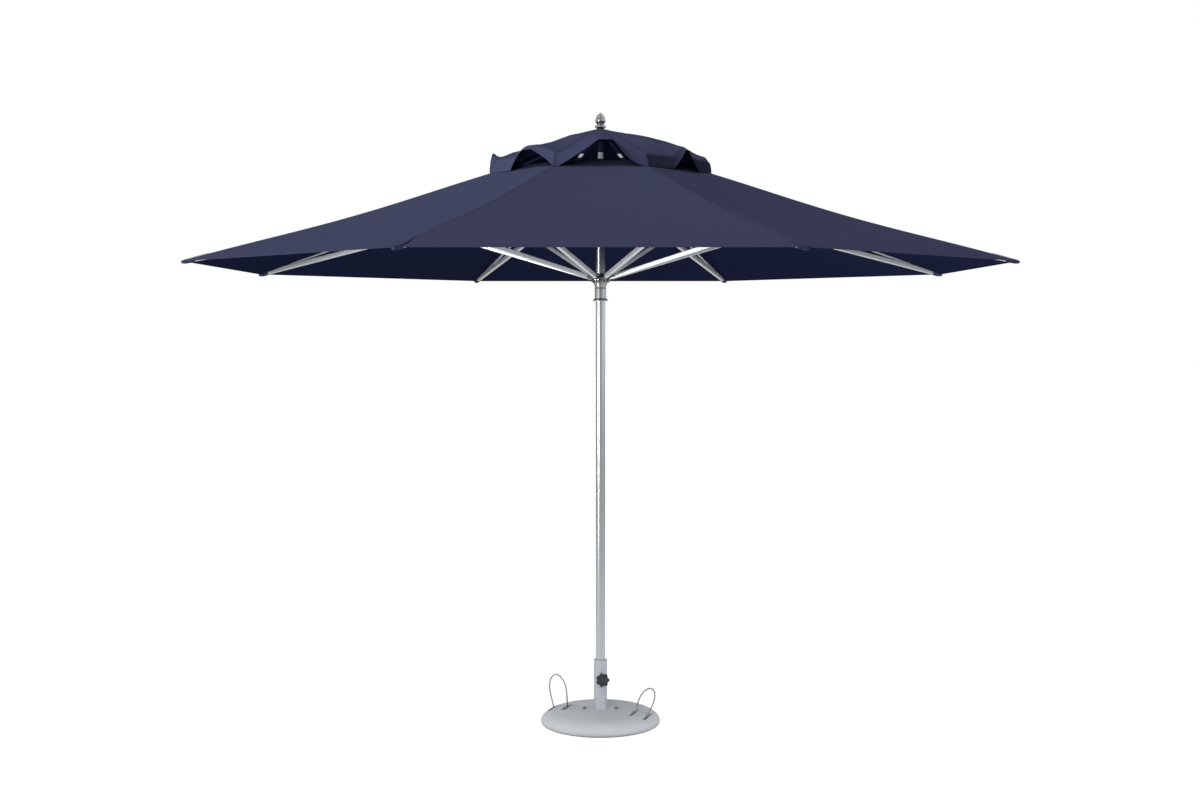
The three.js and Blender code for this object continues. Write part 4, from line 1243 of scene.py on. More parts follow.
# The vent cap's hem between one arm and the next, in shares of the gap: where the arch leaves the first flap,
# where its crest begins and ends, and where it meets the second flap; how its two sides curve; the crest's
# height; and how far the panel above it puffs out and dips behind the crest
CAP_GAPS = {
    1: (0.37, 0.60, 0.63, 0.80, 1.4, 1.0, 2.777, 0.014, 0.000),
    2: (0.00, 0.22, 0.58, 0.80, 0.5, 1.3, 2.738, 0.030, 0.022),
    3: (0.14, 0.42, 0.58, 0.84, 1.4, 1.4, 2.784, 0.018, 0.004),
    4: (0.20, 0.44, 0.56, 0.86, 1.3, 1.5, 2.790, 0.010, 0.000),
    5: (0.12, 0.40, 0.60, 0.84, 1.3, 1.3, 2.786, 0.006, 0.006),
    6: (0.10, 0.46, 0.56, 1.00, 0.9, 0.5, 2.795, 0.000, 0.017),
    7: (0.34, 0.52, 0.67, 1.00, 0.62, 0.76, 2.769, 0.000, 0.000),
    8: (0.05, 0.48, 0.65, 1.00, 1.05, 2.0, 2.801, 0.004, 0.000),
}
# Radius, height on a ridge and height midway between two ridges, from the crown out to the hem
CAP_RIDGE = np.array([
    (0.020, 2.9163, 2.9165), (0.040, 2.9110, 2.9115), (0.164, 2.8780, 2.8800), (0.300, 2.8240, 2.8380),
    (0.440, 2.7730, 2.8070), (0.548, 2.7400, 2.7920), (0.572, 2.6785, 2.7860)])
CAP_RADII, CAP_RIDGES, CAP_MIDDLES = CAP_RIDGE.T
CAP_RUNS = np.concatenate([[0], np.cumsum(np.hypot(np.diff(CAP_RADII), np.diff(CAP_RIDGES)))])
CAP_RUNS /= CAP_RUNS[-1]
CAP_FLAT = (0.44, 0.66)  # width and length of a sector of the cap, laid flat
CAP_ROWS = np.concatenate([np.linspace(0, 0.9, 40), [0.915, 0.93, 0.945, 0.957, 0.966, 0.976, 0.988, 1.0]])
CAP_COLUMNS = np.array([0, 0.006, 0.012, 0.02, 0.03, 0.045, 0.065, 0.09, 0.12, 0.155, 0.19, 0.225, 0.26,
                        0.295, 0.33, 0.365, 0.4, 0.43, 0.46, 0.48, 0.5])


def eased(x):
    """0 to 1 with soft ends."""
    x = np.clip(x, 0, 1)
    return x * x * (3 - 2 * x)


def cap_arch(gap, t):
    """0 on the drooping flaps and 1 on the arch's crest, across one gap."""
    left, crest_from, crest_to, right, left_curve, right_curve = CAP_GAPS[gap][:6]
    rise = np.clip((t - left) / (crest_from - left), 0, 1) ** left_curve
    fall = np.clip((right - t) / (right - crest_to), 0, 1) ** right_curve
    return min(rise, fall)


def cap_place(gap, t, s):
    """Radius and height on the cap at share t of a gap and share s of the way out to the hem."""
    radius, ridge, middle = (np.interp(s, CAP_RUNS, row) for row in (CAP_RADII, CAP_RIDGES, CAP_MIDDLES))
    crest, puff, dip = CAP_GAPS[gap][6:]
    middle += (crest - CAP_MIDDLES[-1]) * eased((s - 0.84) / 0.16)
    plain = (1 - math.cos(math.pi * (1 - 2 * abs(t - 0.5)))) / 2
    outer_zone = eased((s - 0.55) / 0.35)  # the arches take over from the plain panel here
    blend = plain * (1 - outer_zone) + cap_arch(gap, t) * outer_zone
    z = ridge + (middle - ridge) * blend + puff * plain * math.sin(math.pi * s) ** 2
    z -= dip * blend * math.exp(-((s - 0.85) / 0.07) ** 2)
    return radius * math.cos(HALF) / math.cos((t - 0.5) * SECTOR), z


def cap_grid(k, offsets):
    """The sector over arm k in its spoke's frame, at offsets in shares of a gap to either side."""
    grid = np.zeros((len(CAP_ROWS), len(offsets), 3))
    for i, s in enumerate(CAP_ROWS):
        for j, offset in enumerate(offsets):
            gap, t = (k, offset) if offset >= 0 else ((k - 2) % SIDES + 1, 1 + offset)
            radius, z = cap_place(gap, t, float(s))
            turn = offset * SECTOR
            grid[i, j] = (radius * math.cos(turn), radius * math.sin(turn), z)
    return grid


def cap_stitches(outer, hems, hem_width):
    """One row along the hem, and two beside the ridge, which begin outside the crown's washer."""
    from_fold, from_ridge, over_cloth, first = 0.004, 0.0045, 0.0004, 8
    row = int(np.argmin(np.abs(hems[:, 0] - hem_width + from_fold)))
    ridge = outer[first:, outer.shape[1] // 2]
    lines = [outer[row]] + [ridge + (0, side * from_ridge, 0) for side in (-1, 1)]
    return stitches([line + (0, 0, over_cloth) for line in lines])


class UMBRELLA_OT_vent_cap(bpy.types.Operator):
    """Builds the vent cap, whose ridges run over the vent arms and whose hem arches up between them"""
    bl_idname = "umbrella.build_vent_cap"
    bl_label = "Build Vent Cap"

    def execute(self, context):
        cloth = context.scene.umbrella_cloth
        # The cap's outside is the canopy's cloth painted a little lighter, as painted light on the cap; its
        # inside is the underside's cloth painted darker still, as painted shade inside the cap
        outside = cloth_material("cap_outside", tuple(c * 1.03 for c in cloth.outer))
        inside = cloth_material("cap_inside", tuple(c * 0.4 for c in cloth.inner), unevenness=0.05)
        wide, long = CAP_FLAT
        offsets = np.concatenate([-CAP_COLUMNS[:0:-1], CAP_COLUMNS])
        runs = np.repeat((CAP_ROWS * long)[:, None], len(offsets), axis=1)
        hems = np.repeat(((1 - CAP_ROWS) * long)[:, None], len(offsets), axis=1)
        for k in SPOKES:
            grid = cap_grid(k, offsets)
            seams = np.abs(grid[..., 1])
            spots = np.stack([runs, grid[..., 1]], axis=-1)
            lift = sewn_lift(cloth, seams, hems)
            mesh, outer = cloth_shell(grid, cloth.thickness, spots, seams, hems, lift)
            threads = cap_stitches(outer, hems, cloth.hem_width)
            body, joint = f"vent_arm_{k}", f"vent_arm_{k}_fold"
            cloth_object(f"vent_cap_cloth_{k}", mesh, spoke(k), (outside, inside), body, "vent_cap")
            cloth_trim(f"vent_cap_stitching_{k}", [threads], spoke(k), thread(), body, "vent_cap")
        return {"FINISHED"}


# ---------- Folding frame ----------
TONGUE = 0.008  # thickness of the tongues and ears
TONGUE_NOSE = 0.009  # radius of a tongue's round end
RING_EYE = 0.0034  # radius of a tongue's bore for the ring wire, and of an ear's bore
STRUT_PIN = 0.0028  # radius of the pin from a strut to its rib, and of the cheeks' bores
SNUG = 0.0016  # how much wider a collar is than its tube
LUG_CORE = 0.034  # radius of the hub and of the runner where their lugs stand
POST_PLACES = (0.600, 1.180)  # radii at which the battens' posts stand
MAST_PLAY, RUNNER_PLAY = 0.0003, 0.0006  # gaps between the mast and what goes round it


def tongue_outline(radius, reach):
    """A bar end with a round nose about the origin."""
    return [*arc(radius, math.pi / 2, 1.5 * math.pi, 17), (reach, -radius), (reach, radius)]


def add_rivets(piece, place, half_width, x, z):
    """Rivet heads on both sides of a bar."""
    head = dome(0.0032, 0.0016)
    for side in (-1, 1):
        at = shift(x, side * half_width, z) @ Matrix.Rotation(-side * math.pi / 2, 4, "X")
        piece.add(head, place @ at, zinc())


def pin_along_y(radius, low, high, steps=20, chamfer=0.0004):
    """A pin along Y from low to high, with eased ends."""
    profile = [(0, low), (radius - chamfer, low), (radius, low + chamfer), (radius, high - chamfer),
               (radius - chamfer, high), (0, high)]
    mesh = lathe(profile, steps)
    mesh.transform(INTO)
    return mesh


def hex_along_y(radius, low, high):
    """A six-sided nut along Y with chamfered corners."""
    chamfer = (high - low) * 0.18
    profile = [(0, low), (radius * 0.86, low), (radius, low + chamfer), (radius, high - chamfer),
               (radius * 0.86, high), (0, high)]
    mesh = lathe(profile, 6)
    mesh.transform(INTO)
    return mesh


def rib_spot(radius, height):
    """A point of the upright plane through a rib, from its radius and height, in the rib's own frame."""
    x, z = radius - PIVOT_R, height - HUB_Z
    c, s = math.cos(RIB_SLOPE), math.sin(RIB_SLOPE)
    return x * c - z * s, x * s + z * c


def batten_shapes(cloth, folding):
    """The flat batten that the cloth's ridge lies on, and its posts, in the rib's own frame."""
    def edge(drop):
        spots = np.linspace(folding.batten_inner, folding.batten_outer, 36)
        return [rib_spot(r, ridge_height(cloth, r) - folding.batten_drop - drop) for r in spots]

    strip = plate([edge(folding.batten_height) + edge(0)[::-1]], folding.batten_width, 0.0012)
    shapes = [(strip, ACROSS)]
    for radius in POST_PLACES:
        drop = folding.batten_drop + folding.batten_height / 2
        x, top = rib_spot(radius, ridge_height(cloth, radius) - drop)
        post = box_shape(x - 0.005, x + 0.005, -0.004, 0.004, folding.rib_height / 2 - 0.001, top)
        shapes.append((post, Matrix.Identity(4)))
    return shapes


def planed(tube, folding):
    """Thins a rib's outer end from above."""
    begin = folding.rib_length - folding.planed
    low = -folding.rib_height / 2
    for vertex in tube.vertices:
        share = max(0.0, (vertex.co.x - begin) / folding.planed)
        vertex.co.z = low + (vertex.co.z - low) * (1 - share * folding.planed_depth)
    return tube


class UMBRELLA_OT_ribs(bpy.types.Operator):
    """Builds the eight ribs with their tongues, planed ends and strut brackets"""
    bl_idname = "umbrella.build_ribs"
    bl_label = "Build Ribs"

    def execute(self, context):
        folding = context.scene.umbrella_folding
        wide, high = folding.rib_width, folding.rib_height
        reach = folding.rib_length
        tube = planed(bar(0.026, reach, wide, high, 0.004, anodised()), folding)
        tongue = plate([tongue_outline(TONGUE_NOSE, 0.044), circle(RING_EYE, 20)], TONGUE)
        collar = bar(0.0235, 0.036, wide + SNUG, high + SNUG, 0.0045, nylon(), 0.004)
        tip_plug = bar(reach - 0.002, reach + 0.002, wide - 0.003, 0.012, 0.003, nylon(), 0.002)
        tip_plug.transform(shift(0, 0, -0.0065))
        battens = batten_shapes(context.scene.umbrella_cloth, folding)
        x, z = rib_spot(LINK_R, LINK_Z)
        saddle = bar(x - 0.032, x + 0.032, wide + 0.004, high + 0.004, 0.0055, zinc(), 0.008)
        nose, shoulder = 0.010, z + 0.012
        outline = [(-0.026, -high / 2), (-nose, shoulder), *arc(nose, math.pi, 2 * math.pi, 15, (0, z)),
                   (nose, shoulder), (0.026, -high / 2)]
        ear = plate([outline, circle(RING_EYE, 20, (0, z))], TONGUE)
        for k in SPOKES:
            place = rib_frame(k)
            piece = Piece(f"rib_tube_{k}")
            piece.add(tube, place, anodised())
            piece.add(tongue, place @ ACROSS, zinc())
            piece.add(collar, place, nylon())
            piece.add(tip_plug, place, nylon())
            piece.add(saddle, place, anodised())
            piece.add(ear, place @ shift(x, 0, 0) @ ACROSS, anodised())
            for mesh, turn in battens:
                piece.add(mesh, place @ turn, anodised())
            add_rivets(piece, place, wide / 2, 0.042, 0)
            for spot in (x - 0.022, x + 0.022):
                add_rivets(piece, place, wide / 2 + 0.002, spot, 0.002)
            piece.finish(f"rib_{k}", "anodised", f"rib_{k}")
        return {"FINISHED"}


class UMBRELLA_OT_struts(bpy.types.Operator):
    """Builds the eight struts with their forks, pins and tongues"""
    bl_idname = "umbrella.build_struts"
    bl_label = "Build Struts"

    def execute(self, context):
        folding = context.scene.umbrella_folding
        wide, high = folding.strut_width, folding.strut_height
        far = STRUT_LENGTH
        tube = bar(0.020, far - 0.024, wide, high, 0.0035, anodised())
        cheek = plate([tongue_outline(0.010, 0.036), circle(STRUT_PIN, 20)], 0.0044)
        foot = plate([tongue_outline(TONGUE_NOSE, 0.040), circle(RING_EYE, 20)], TONGUE)
        collar = bar(far - 0.035, far - 0.0235, wide + SNUG, high + SNUG, 0.004, zinc(), 0.004)
        near_collar = bar(0.0185, 0.030, wide + 0.0012, high + 0.0012, 0.004, zinc(), 0.004)
        pin = pin_along_y(STRUT_PIN, -0.0105, 0.0105)
        head = pin_along_y(0.0055, 0.0085, 0.0112, 24, 0.0008)
        nut = hex_along_y(0.0055, -0.0117, -0.0083)
        end = shift(far, 0, 0) @ Matrix.Rotation(math.pi, 4, "Z")
        for k in SPOKES:
            place = strut_frame(k)
            piece = Piece(f"strut_tube_{k}")
            piece.add(tube, place, anodised())
            for side in (-1, 1):
                piece.add(cheek, place @ shift(0, side * 0.0068, 0) @ ACROSS, zinc())
            piece.add(foot, place @ end @ ACROSS, zinc())
            for mesh in (collar, near_collar, pin, head, nut):
                piece.add(mesh, place, zinc())
            add_rivets(piece, place, wide / 2, far - 0.042, 0)
            piece.finish(f"strut_{k}", "anodised", f"strut_{k}")
        return {"FINISHED"}


class UMBRELLA_OT_vent_arms(bpy.types.Operator):
    """Builds the eight flat arms that carry the vent cap"""
    bl_idname = "umbrella.build_vent_arms"
    bl_label = "Build Vent Arms"

    def execute(self, context):
        folding = context.scene.umbrella_folding
        wide, thick = folding.arm_width, folding.arm_thickness
        reach = (folding.arm_reach - ARM_PIVOT_R) / math.cos(ARM_SLOPE)
        strip = bar(0.024, reach - 0.004, wide, thick, 0.0016, anodised(), 0.02)
        shoe = box_shape(reach - 0.030, reach, -0.0105, 0.0105, -0.0045, 0.0045, 0.0022, 3)
        sleeves = [bar(start, end, wide + 0.003, thick + 0.003, 0.0035, painted_shade_cloth(), 0.02)
                   for start, end in ((0.034, 0.228), (0.274, reach - 0.028))]
        tongue = plate([tongue_outline(0.0045, 0.034)], 0.006)
        pin = pin_along_y(0.0016, -0.006, 0.006, 12, 0.0002)
        head = dome(0.0028, 0.0014)
        for k in SPOKES:
            place = arm_frame(k)
            piece = Piece(f"vent_arm_strip_{k}")
            piece.add(strip, place, anodised())
            piece.add(shoe, place, nylon())
            for sleeve in sleeves:
                piece.add(sleeve, place, painted_shade_cloth())
            piece.add(tongue, place @ ACROSS, zinc())
            piece.add(pin, place, zinc())
            piece.add(head, place @ shift(0.029, 0, thick / 2), zinc())
            piece.finish(f"vent_arm_{k}", "nylon", f"vent_arm_{k}")
        return {"FINISHED"}


def clevis_ring(low, high, material):
    """Eight pairs of cheeks about the pivot circle, each pair bored for the ring wire."""
    width, slot = 0.019, 0.0092
    cheek = (width - slot) / 2
    inner, nose = LUG_CORE - 0.003, PIVOT_R + 0.009
    outline = [(inner, low + 0.0005), (PIVOT_R + 0.001, low + 0.001), (nose, low / 2), (nose, high / 2),
               (PIVOT_R + 0.005, high - 0.0005), (inner, high - 0.0005)]
    side = plate([soften(outline, 0.0035), circle(0.0030, 20, (PIVOT_R, 0))], cheek, 0.0008)
    pair = Piece("pair")
    for sign in (-1, 1):
        pair.add(side, shift(0, sign * (slot + cheek) / 2, 0) @ ACROSS)
    mesh = bpy.data.meshes.new("pair")
    pair.shape.to_mesh(mesh)
    pair.shape.free()
    return ring_of(mesh, SIDES, material, math.atan2(HUB_PIVOT.y, HUB_PIVOT.x))


def ring_wire(folding):
    """The wire ring that runs through all the tongues."""
    points = [(PIVOT_R * math.cos(a), PIVOT_R * math.sin(a), 0) for a in np.linspace(0, 2 * math.pi, 97)[:-1]]
    return wire(points, folding.ring_wire, zinc(), closed=True, sides=12, spacing=0.004)


class UMBRELLA_OT_hub(bpy.types.Operator):
    """Builds the top hub and the wire ring that holds the ribs' tongues"""
    bl_idname = "umbrella.build_hub"
    bl_label = "Build Hub"

    def execute(self, context):
        bore = context.scene.umbrella_mast.radius + MAST_PLAY
        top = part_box("hub_body")[1].z - HUB_Z
        place = shift(0, 0, HUB_Z)
        profile = [(bore, -0.023), (0.0265, -0.023), (0.0275, -0.0215), (0.0275, -0.013),
                   (LUG_CORE, -0.011), (LUG_CORE, 0.011), (0.031, 0.014), (0.028, top), (bore, top)]
        core = turned(profile, 0.0015, 96)
        screw = hex_along_y(0.0036, -0.0298, -0.0265)
        piece = Piece("hub_casting")
        piece.add(core, place, anodised())
        piece.add(clevis_ring(-0.011, 0.011, anodised()), place, anodised())
        piece.add(ring_of(screw, 2, zinc(), 0.2), place @ shift(0, 0, -0.0172), zinc())
        piece.finish("mast", "anodised", "hub_body")
        ring = Piece("hub_ring_wire").add(ring_wire(context.scene.umbrella_folding), place, zinc())
        ring.finish("mast", "zinc", "hub_pivot_ring")
        return {"FINISHED"}


class UMBRELLA_OT_runner(bpy.types.Operator):
    """Builds the sliding runner with its bush, lugs, ring wire and catch button"""
    bl_idname = "umbrella.build_runner"
    bl_label = "Build Runner"

    def execute(self, context):
        bore = context.scene.umbrella_mast.radius + RUNNER_PLAY
        place = shift(0, 0, RUNNER_Z)
        profile = [(bore, -0.113), (0.035, -0.113), (0.0365, -0.1115), (0.0365, -0.106), (0.033, -0.103),
                   (0.029, -0.101), (0.029, -0.050), (0.0276, -0.0485), (0.0276, -0.044), (0.029, -0.0425),
                   (0.029, -0.036), (LUG_CORE, -0.031), (LUG_CORE, 0.008), (bore, 0.008)]
        core = turned(profile, 0.0014, 96)
        low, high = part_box("latch_button")
        facing = shift(0, 0, (low.z + high.z) / 2 - RUNNER_Z) @ INTO
        profile = [(0.0072, 0.026), (0.0098, 0.026), (0.0098, 0.0294), (0.0072, 0.0303)]
        collar = turned(profile, 0.0006, 32)
        piece = Piece("runner_casting")
        piece.add(core, place, chrome())
        piece.add(clevis_ring(-0.024, 0.008, chrome()), place, chrome())
        piece.add(collar, place @ facing, chrome())
        piece.finish("runner", "chrome", "runner_body")
        profile = [(bore, 0.0083), (0.028, 0.0083), (0.028, 0.017), (0.0265, 0.022), (bore, 0.024)]
        bush = Piece("runner_collar_bush").add(turned(profile, 0.0012, 72), place, nylon())
        bush.finish("runner", "nylon", "runner_bush")
        ring = Piece("runner_ring_wire").add(ring_wire(context.scene.umbrella_folding), place, zinc())
        ring.finish("runner", "zinc", "runner_pivot_ring")
        inner, outer = low.y, high.y
        profile = [(0, inner), (0.0067, inner), (0.0069, inner + 0.0003), (0.0069, outer - 0.0012),
                   (0.0066, outer - 0.0006), (0.0058, outer - 0.0001), (0.0030, outer - 0.0005),
                   (0, outer - 0.0007)]
        button = Piece("latch_cap").add(lathe(profile, 32), place @ facing, nylon())
        button.finish("latch", "nylon", "latch_button")
        return {"FINISHED"}


# ---------- Mast and crown ----------
CROWN_BAND = (2.772, 2.803)  # heights between which the crown rod shows bare


class UMBRELLA_OT_mast(bpy.types.Operator):
    """Builds the mast tube and the thinner crown rod, and finishes the small nylon pieces on them"""
    bl_idname = "umbrella.build_mast"
    bl_label = "Build Mast"

    def execute(self, context):
        mast = context.scene.umbrella_mast
        low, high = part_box("mast_pole")
        inner = mast.radius - mast.wall
        edge = [(mast.radius, z) for z in np.linspace(low.z + 0.1, high.z - 0.1, 24)]
        profile = [(inner, low.z), (mast.radius, low.z), *edge, (mast.radius, high.z), (inner, high.z)]
        tube = Piece("mast_tube").add(turned(profile, 0.0006, 96, "along"), None, mast_metal())
        tube.finish("mast", "anodised", "mast_pole")
        low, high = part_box("crown_rod")
        outer, inner = high.x, high.x - 0.002
        rod = Piece("crown_rod_tube")
        bounds = (low.z, *CROWN_BAND, high.z)
        for start, end, material in zip(bounds, bounds[1:], (painted_shade_cloth(), anodised(), painted_shade_cloth())):
            profile = [(inner, start), (outer, start), (outer, end), (inner, end)]
            rod.add(turned(profile, 0.0005, 48, "along"), None, material)
        rod.finish("mast", "anodised", "crown_rod")
        for node in ("pole_foot_plug", "pole_top_bush", "crown_hub", "cap_washer"):
            dress(node, nylon())
        return {"FINISHED"}


def dress(node, material):
    """Gives a carried-over node its finish."""
    mesh = frame["nodes"][node].data
    mesh.materials.clear()
    mesh.materials.append(material)


class UMBRELLA_OT_finial(bpy.types.Operator):
    """Builds the turned acorn finial"""
    bl_idname = "umbrella.build_finial"
    bl_label = "Build Finial"

    def execute(self, context):
        low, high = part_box("finial")
        profile = [(0, 0), (0.027, 0), (0.0285, 0.0012), (0.0285, 0.003)]
        profile += bezier((0.0285, 0.003), (0.028, 0.011), (0.020, 0.012), (0.016, 0.016), 10)[1:]
        profile += bezier((0.016, 0.017), (0.026, 0.020), (0.030, 0.040), (0.0205, 0.044), 18)
        profile += [(0.0196, 0.0446), (0.0196, 0.0454)]
        profile += bezier((0.022, 0.046), (0.022, 0.060), (0.008, 0.066), (0, high.z - low.z), 16)
        acorn = Piece("finial_acorn").add(lathe([(r, low.z + z) for r, z in profile], 80), None, chrome())
        acorn.finish("mast", "chrome", "finial")
        return {"FINISHED"}


# ---------- Base ----------
FOOT_WIDTH = 0.016  # of the rubber ring, in cross-section
POLE_GAP = 0.0003  # between the top bush and the mast, and between it and the sleeve
# How each handle rests: its lean outwards and its swing in degrees, and its width against the left one's
HANDLE_RESTS = {"left": (5.5, 8, 1.0), "right": (0.5, 54, 0.88)}


def base_profile():
    """The casting's outline: the groove for the rubber ring, the round rim, the dome and the flat top."""
    low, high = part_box("base_body")
    rim, under, top = high.x, low.z, high.z
    groove_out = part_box("foot_ring")[1].x + 0.0003
    groove_in = groove_out - FOOT_WIDTH - 0.0006
    profile = [(0, under), (groove_in, under), (groove_in, under + 0.004), (groove_out, under + 0.004),
               (groove_out, under)]
    profile += bezier((rim - 0.011, under), (rim - 0.004, under + 0.001), (rim, 0.008), (rim, 0.016), 7)
    profile += bezier((rim, 0.016), (rim, 0.034), (0.268, 0.052), (0.238, 0.060), 14)[1:]
    profile += bezier((0.238, 0.060), (0.216, 0.0655), (0.190, top), (0.165, top), 8)[1:]
    return profile + [(0.11, top), (0.06, top), (0, top)]


def slot_cutter(base, side):
    """A long slot with round ends, on one side of a handle's axis."""
    reach = base.slot_length / 2 - base.slot_width / 2
    half = base.slot_width / 2
    outline = arc(half, 0, math.pi, 13, (0, reach)) + arc(half, math.pi, 2 * math.pi, 13, (0, -reach))
    floor, depth = 0.034, 0.060
    cutter = plate([outline], depth, 0.0005, 0)
    cutter.transform(shift(side * base.slot_offset, 0, floor + depth / 2))
    return cutter


def handle_place(name):
    """A handle's pivot, and a turn that lays X outwards from the mast."""
    pivot = joint_place(f"handle_{name}_swing")
    return pivot, Matrix.Rotation(math.atan2(pivot.y, pivot.x), 4, "Z")


class UMBRELLA_OT_base(bpy.types.Operator):
    """Builds the round casting with its four handle slots, and the rubber ring under it"""
    bl_idname = "umbrella.build_base"
    bl_label = "Build Base"

    def execute(self, context):
        base = context.scene.umbrella_base
        body = linked("casting_block", lathe(base_profile(), 160))
        cutters = []
        reach, tunnel_radius = base.slot_offset, 0.0065
        profile = [(0, -reach), (tunnel_radius, -reach), (tunnel_radius, reach), (0, reach)]
        for name in HANDLE_RESTS:
            pivot, turn = handle_place(name)
            place = turn @ shift(pivot.xy.length, 0, 0)
            tunnel = lathe(profile, 20)
            tunnel.transform(shift(0, 0, pivot.z) @ ALONG)
            for mesh in (slot_cutter(base, -1), slot_cutter(base, 1), tunnel):
                mesh.transform(place)
                cutters.append(mesh)
        for mesh in cutters:
            cutter = linked("cutter", mesh)
            cut = body.modifiers.new("cut", "BOOLEAN")
            cut.operation, cut.solver, cut.object = "DIFFERENCE", "EXACT", cutter
        rounder = bpy.data.objects.new("casting_round", merged(settle(body), 1e-5))
        for cutter in [made for made in context.collection.objects if made.name.startswith("cutter")]:
            bpy.data.objects.remove(cutter)
        context.collection.objects.link(rounder)
        bevel = rounder.modifiers.new("edges", "BEVEL")
        bevel.width, bevel.segments, bevel.limit_method = 0.0022, 3, "ANGLE"
        bevel.angle_limit = math.radians(40)
        block = Piece("base_casting").add(flat_uvs(settle(rounder)), None, casting())
        block.finish("base", "casting", "base_body", sharp=45)
        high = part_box("foot_ring")[1]
        outer, inner = high.x, high.x - FOOT_WIDTH
        profile = [(inner, 0), (outer, 0), (outer, high.z), (inner, high.z)]
        ring = Piece("foot_ring_rubber").add(turned(profile, 0.0012, 128), None, rubber())
        ring.finish("base", "rubber", "foot_ring")
        return {"FINISHED"}


class UMBRELLA_OT_sleeve(bpy.types.Operator):
    """Builds the bolted plate, its weld, the bolts, the sleeve and its bushes"""
    bl_idname = "umbrella.build_sleeve"
    bl_label = "Build Sleeve"

    def execute(self, context):
        low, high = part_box("flange_plate")
        sleeve_low, sleeve_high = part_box("sleeve_tube")
        radius = sleeve_high.x
        x, y, thick = high.x, high.y, 0.005
        outline = soften([(-x, -y), (x, -y), (x, y), (-x, y)], 0.014, 6)
        flat = plate([outline, circle(radius - 0.006, 64)], thick, 0.0012, 3)
        top, steps, ripples = low.z + thick, 180, 42
        bead = []
        for i in range(steps):
            a = 2 * math.pi * i / steps
            ripple = 0.00035 * math.sin(a * ripples)
            reach = radius + 0.0026 + ripple
            bead.append((reach * math.cos(a), reach * math.sin(a), top + 0.0012 + ripple * 0.6))
        piece = Piece("plate_and_weld")
        piece.add(flat, shift(0, 0, low.z + thick / 2), paint())
        piece.add(wire(bead, 0.0030, paint(), closed=True, sides=12, spacing=0.0012), None, paint())
        piece.finish("base", "steel_paint", "flange_plate")
        bolt_low, bolt_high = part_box("plate_bolt_right")
        profile = [(0.0052, 0), (0.012, 0), (0.012, 0.002), (0.0052, 0.002)]
        washer = turned(profile, 0.0004, 40)
        head = lathe([(0, 0.002), (0.0078, 0.002), (0.0085, 0.0026), (0.0085, 0.0072), (0.0076, 0.0082),
                      (0, 0.0082)], 6)
        stub = lathe([(0, 0.007), (0.0050, 0.007), (0.0050, 0.0112), (0.0042, 0.012), (0, 0.012)], 24)
        out = shift((bolt_low.x + bolt_high.x) / 2, 0, bolt_low.z)
        piece = Piece("plate_bolts")
        for mesh in (washer, head, stub):
            moved = mesh.copy()
            moved.transform(out)
            piece.add(ring_of(moved, 2, zinc()), None, zinc())
        piece.finish("base", "zinc", "plate_bolt_left", "plate_bolt_right", sharp=30)
        inner, below, above = radius - 0.002, sleeve_low.z, sleeve_high.z
        profile = [(inner, below), (radius, below), (radius, above), (inner, above)]
        pipe = Piece("sleeve_pipe").add(turned(profile, 0.0007, 96, "along"), None, paint())
        pipe.finish("base", "steel_paint", "sleeve_tube")
        low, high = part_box("sleeve_top_bush")
        bore = context.scene.umbrella_mast.radius + POLE_GAP
        plug, seat = inner - POLE_GAP, high.z - 0.0025
        profile = [(bore, low.z), (plug, low.z), (plug, seat), (radius, seat), (radius, high.z - 0.001),
                   (radius - 0.001, high.z), (bore, high.z)]
        bush = Piece("sleeve_top_collar").add(turned(profile, 0.0007, 96), None, pale_nylon())
        bush.finish("sleeve_bush", "nylon_pale", "sleeve_top_bush")
        dress("sleeve_foot_bush", nylon())
        return {"FINISHED"}


def knob_outline(lobes, radius):
    """A round outline with broad lobes and narrow hollows between them."""
    points, steps, depth, breadth = [], 140, 0.2, 0.8
    for i in range(steps):
        angle = 2 * math.pi * i / steps
        wave = (1 + math.cos(lobes * angle)) / 2
        r = radius * (1 - depth + depth * wave ** breadth)
        points.append((r * math.cos(angle), r * math.sin(angle)))
    return points


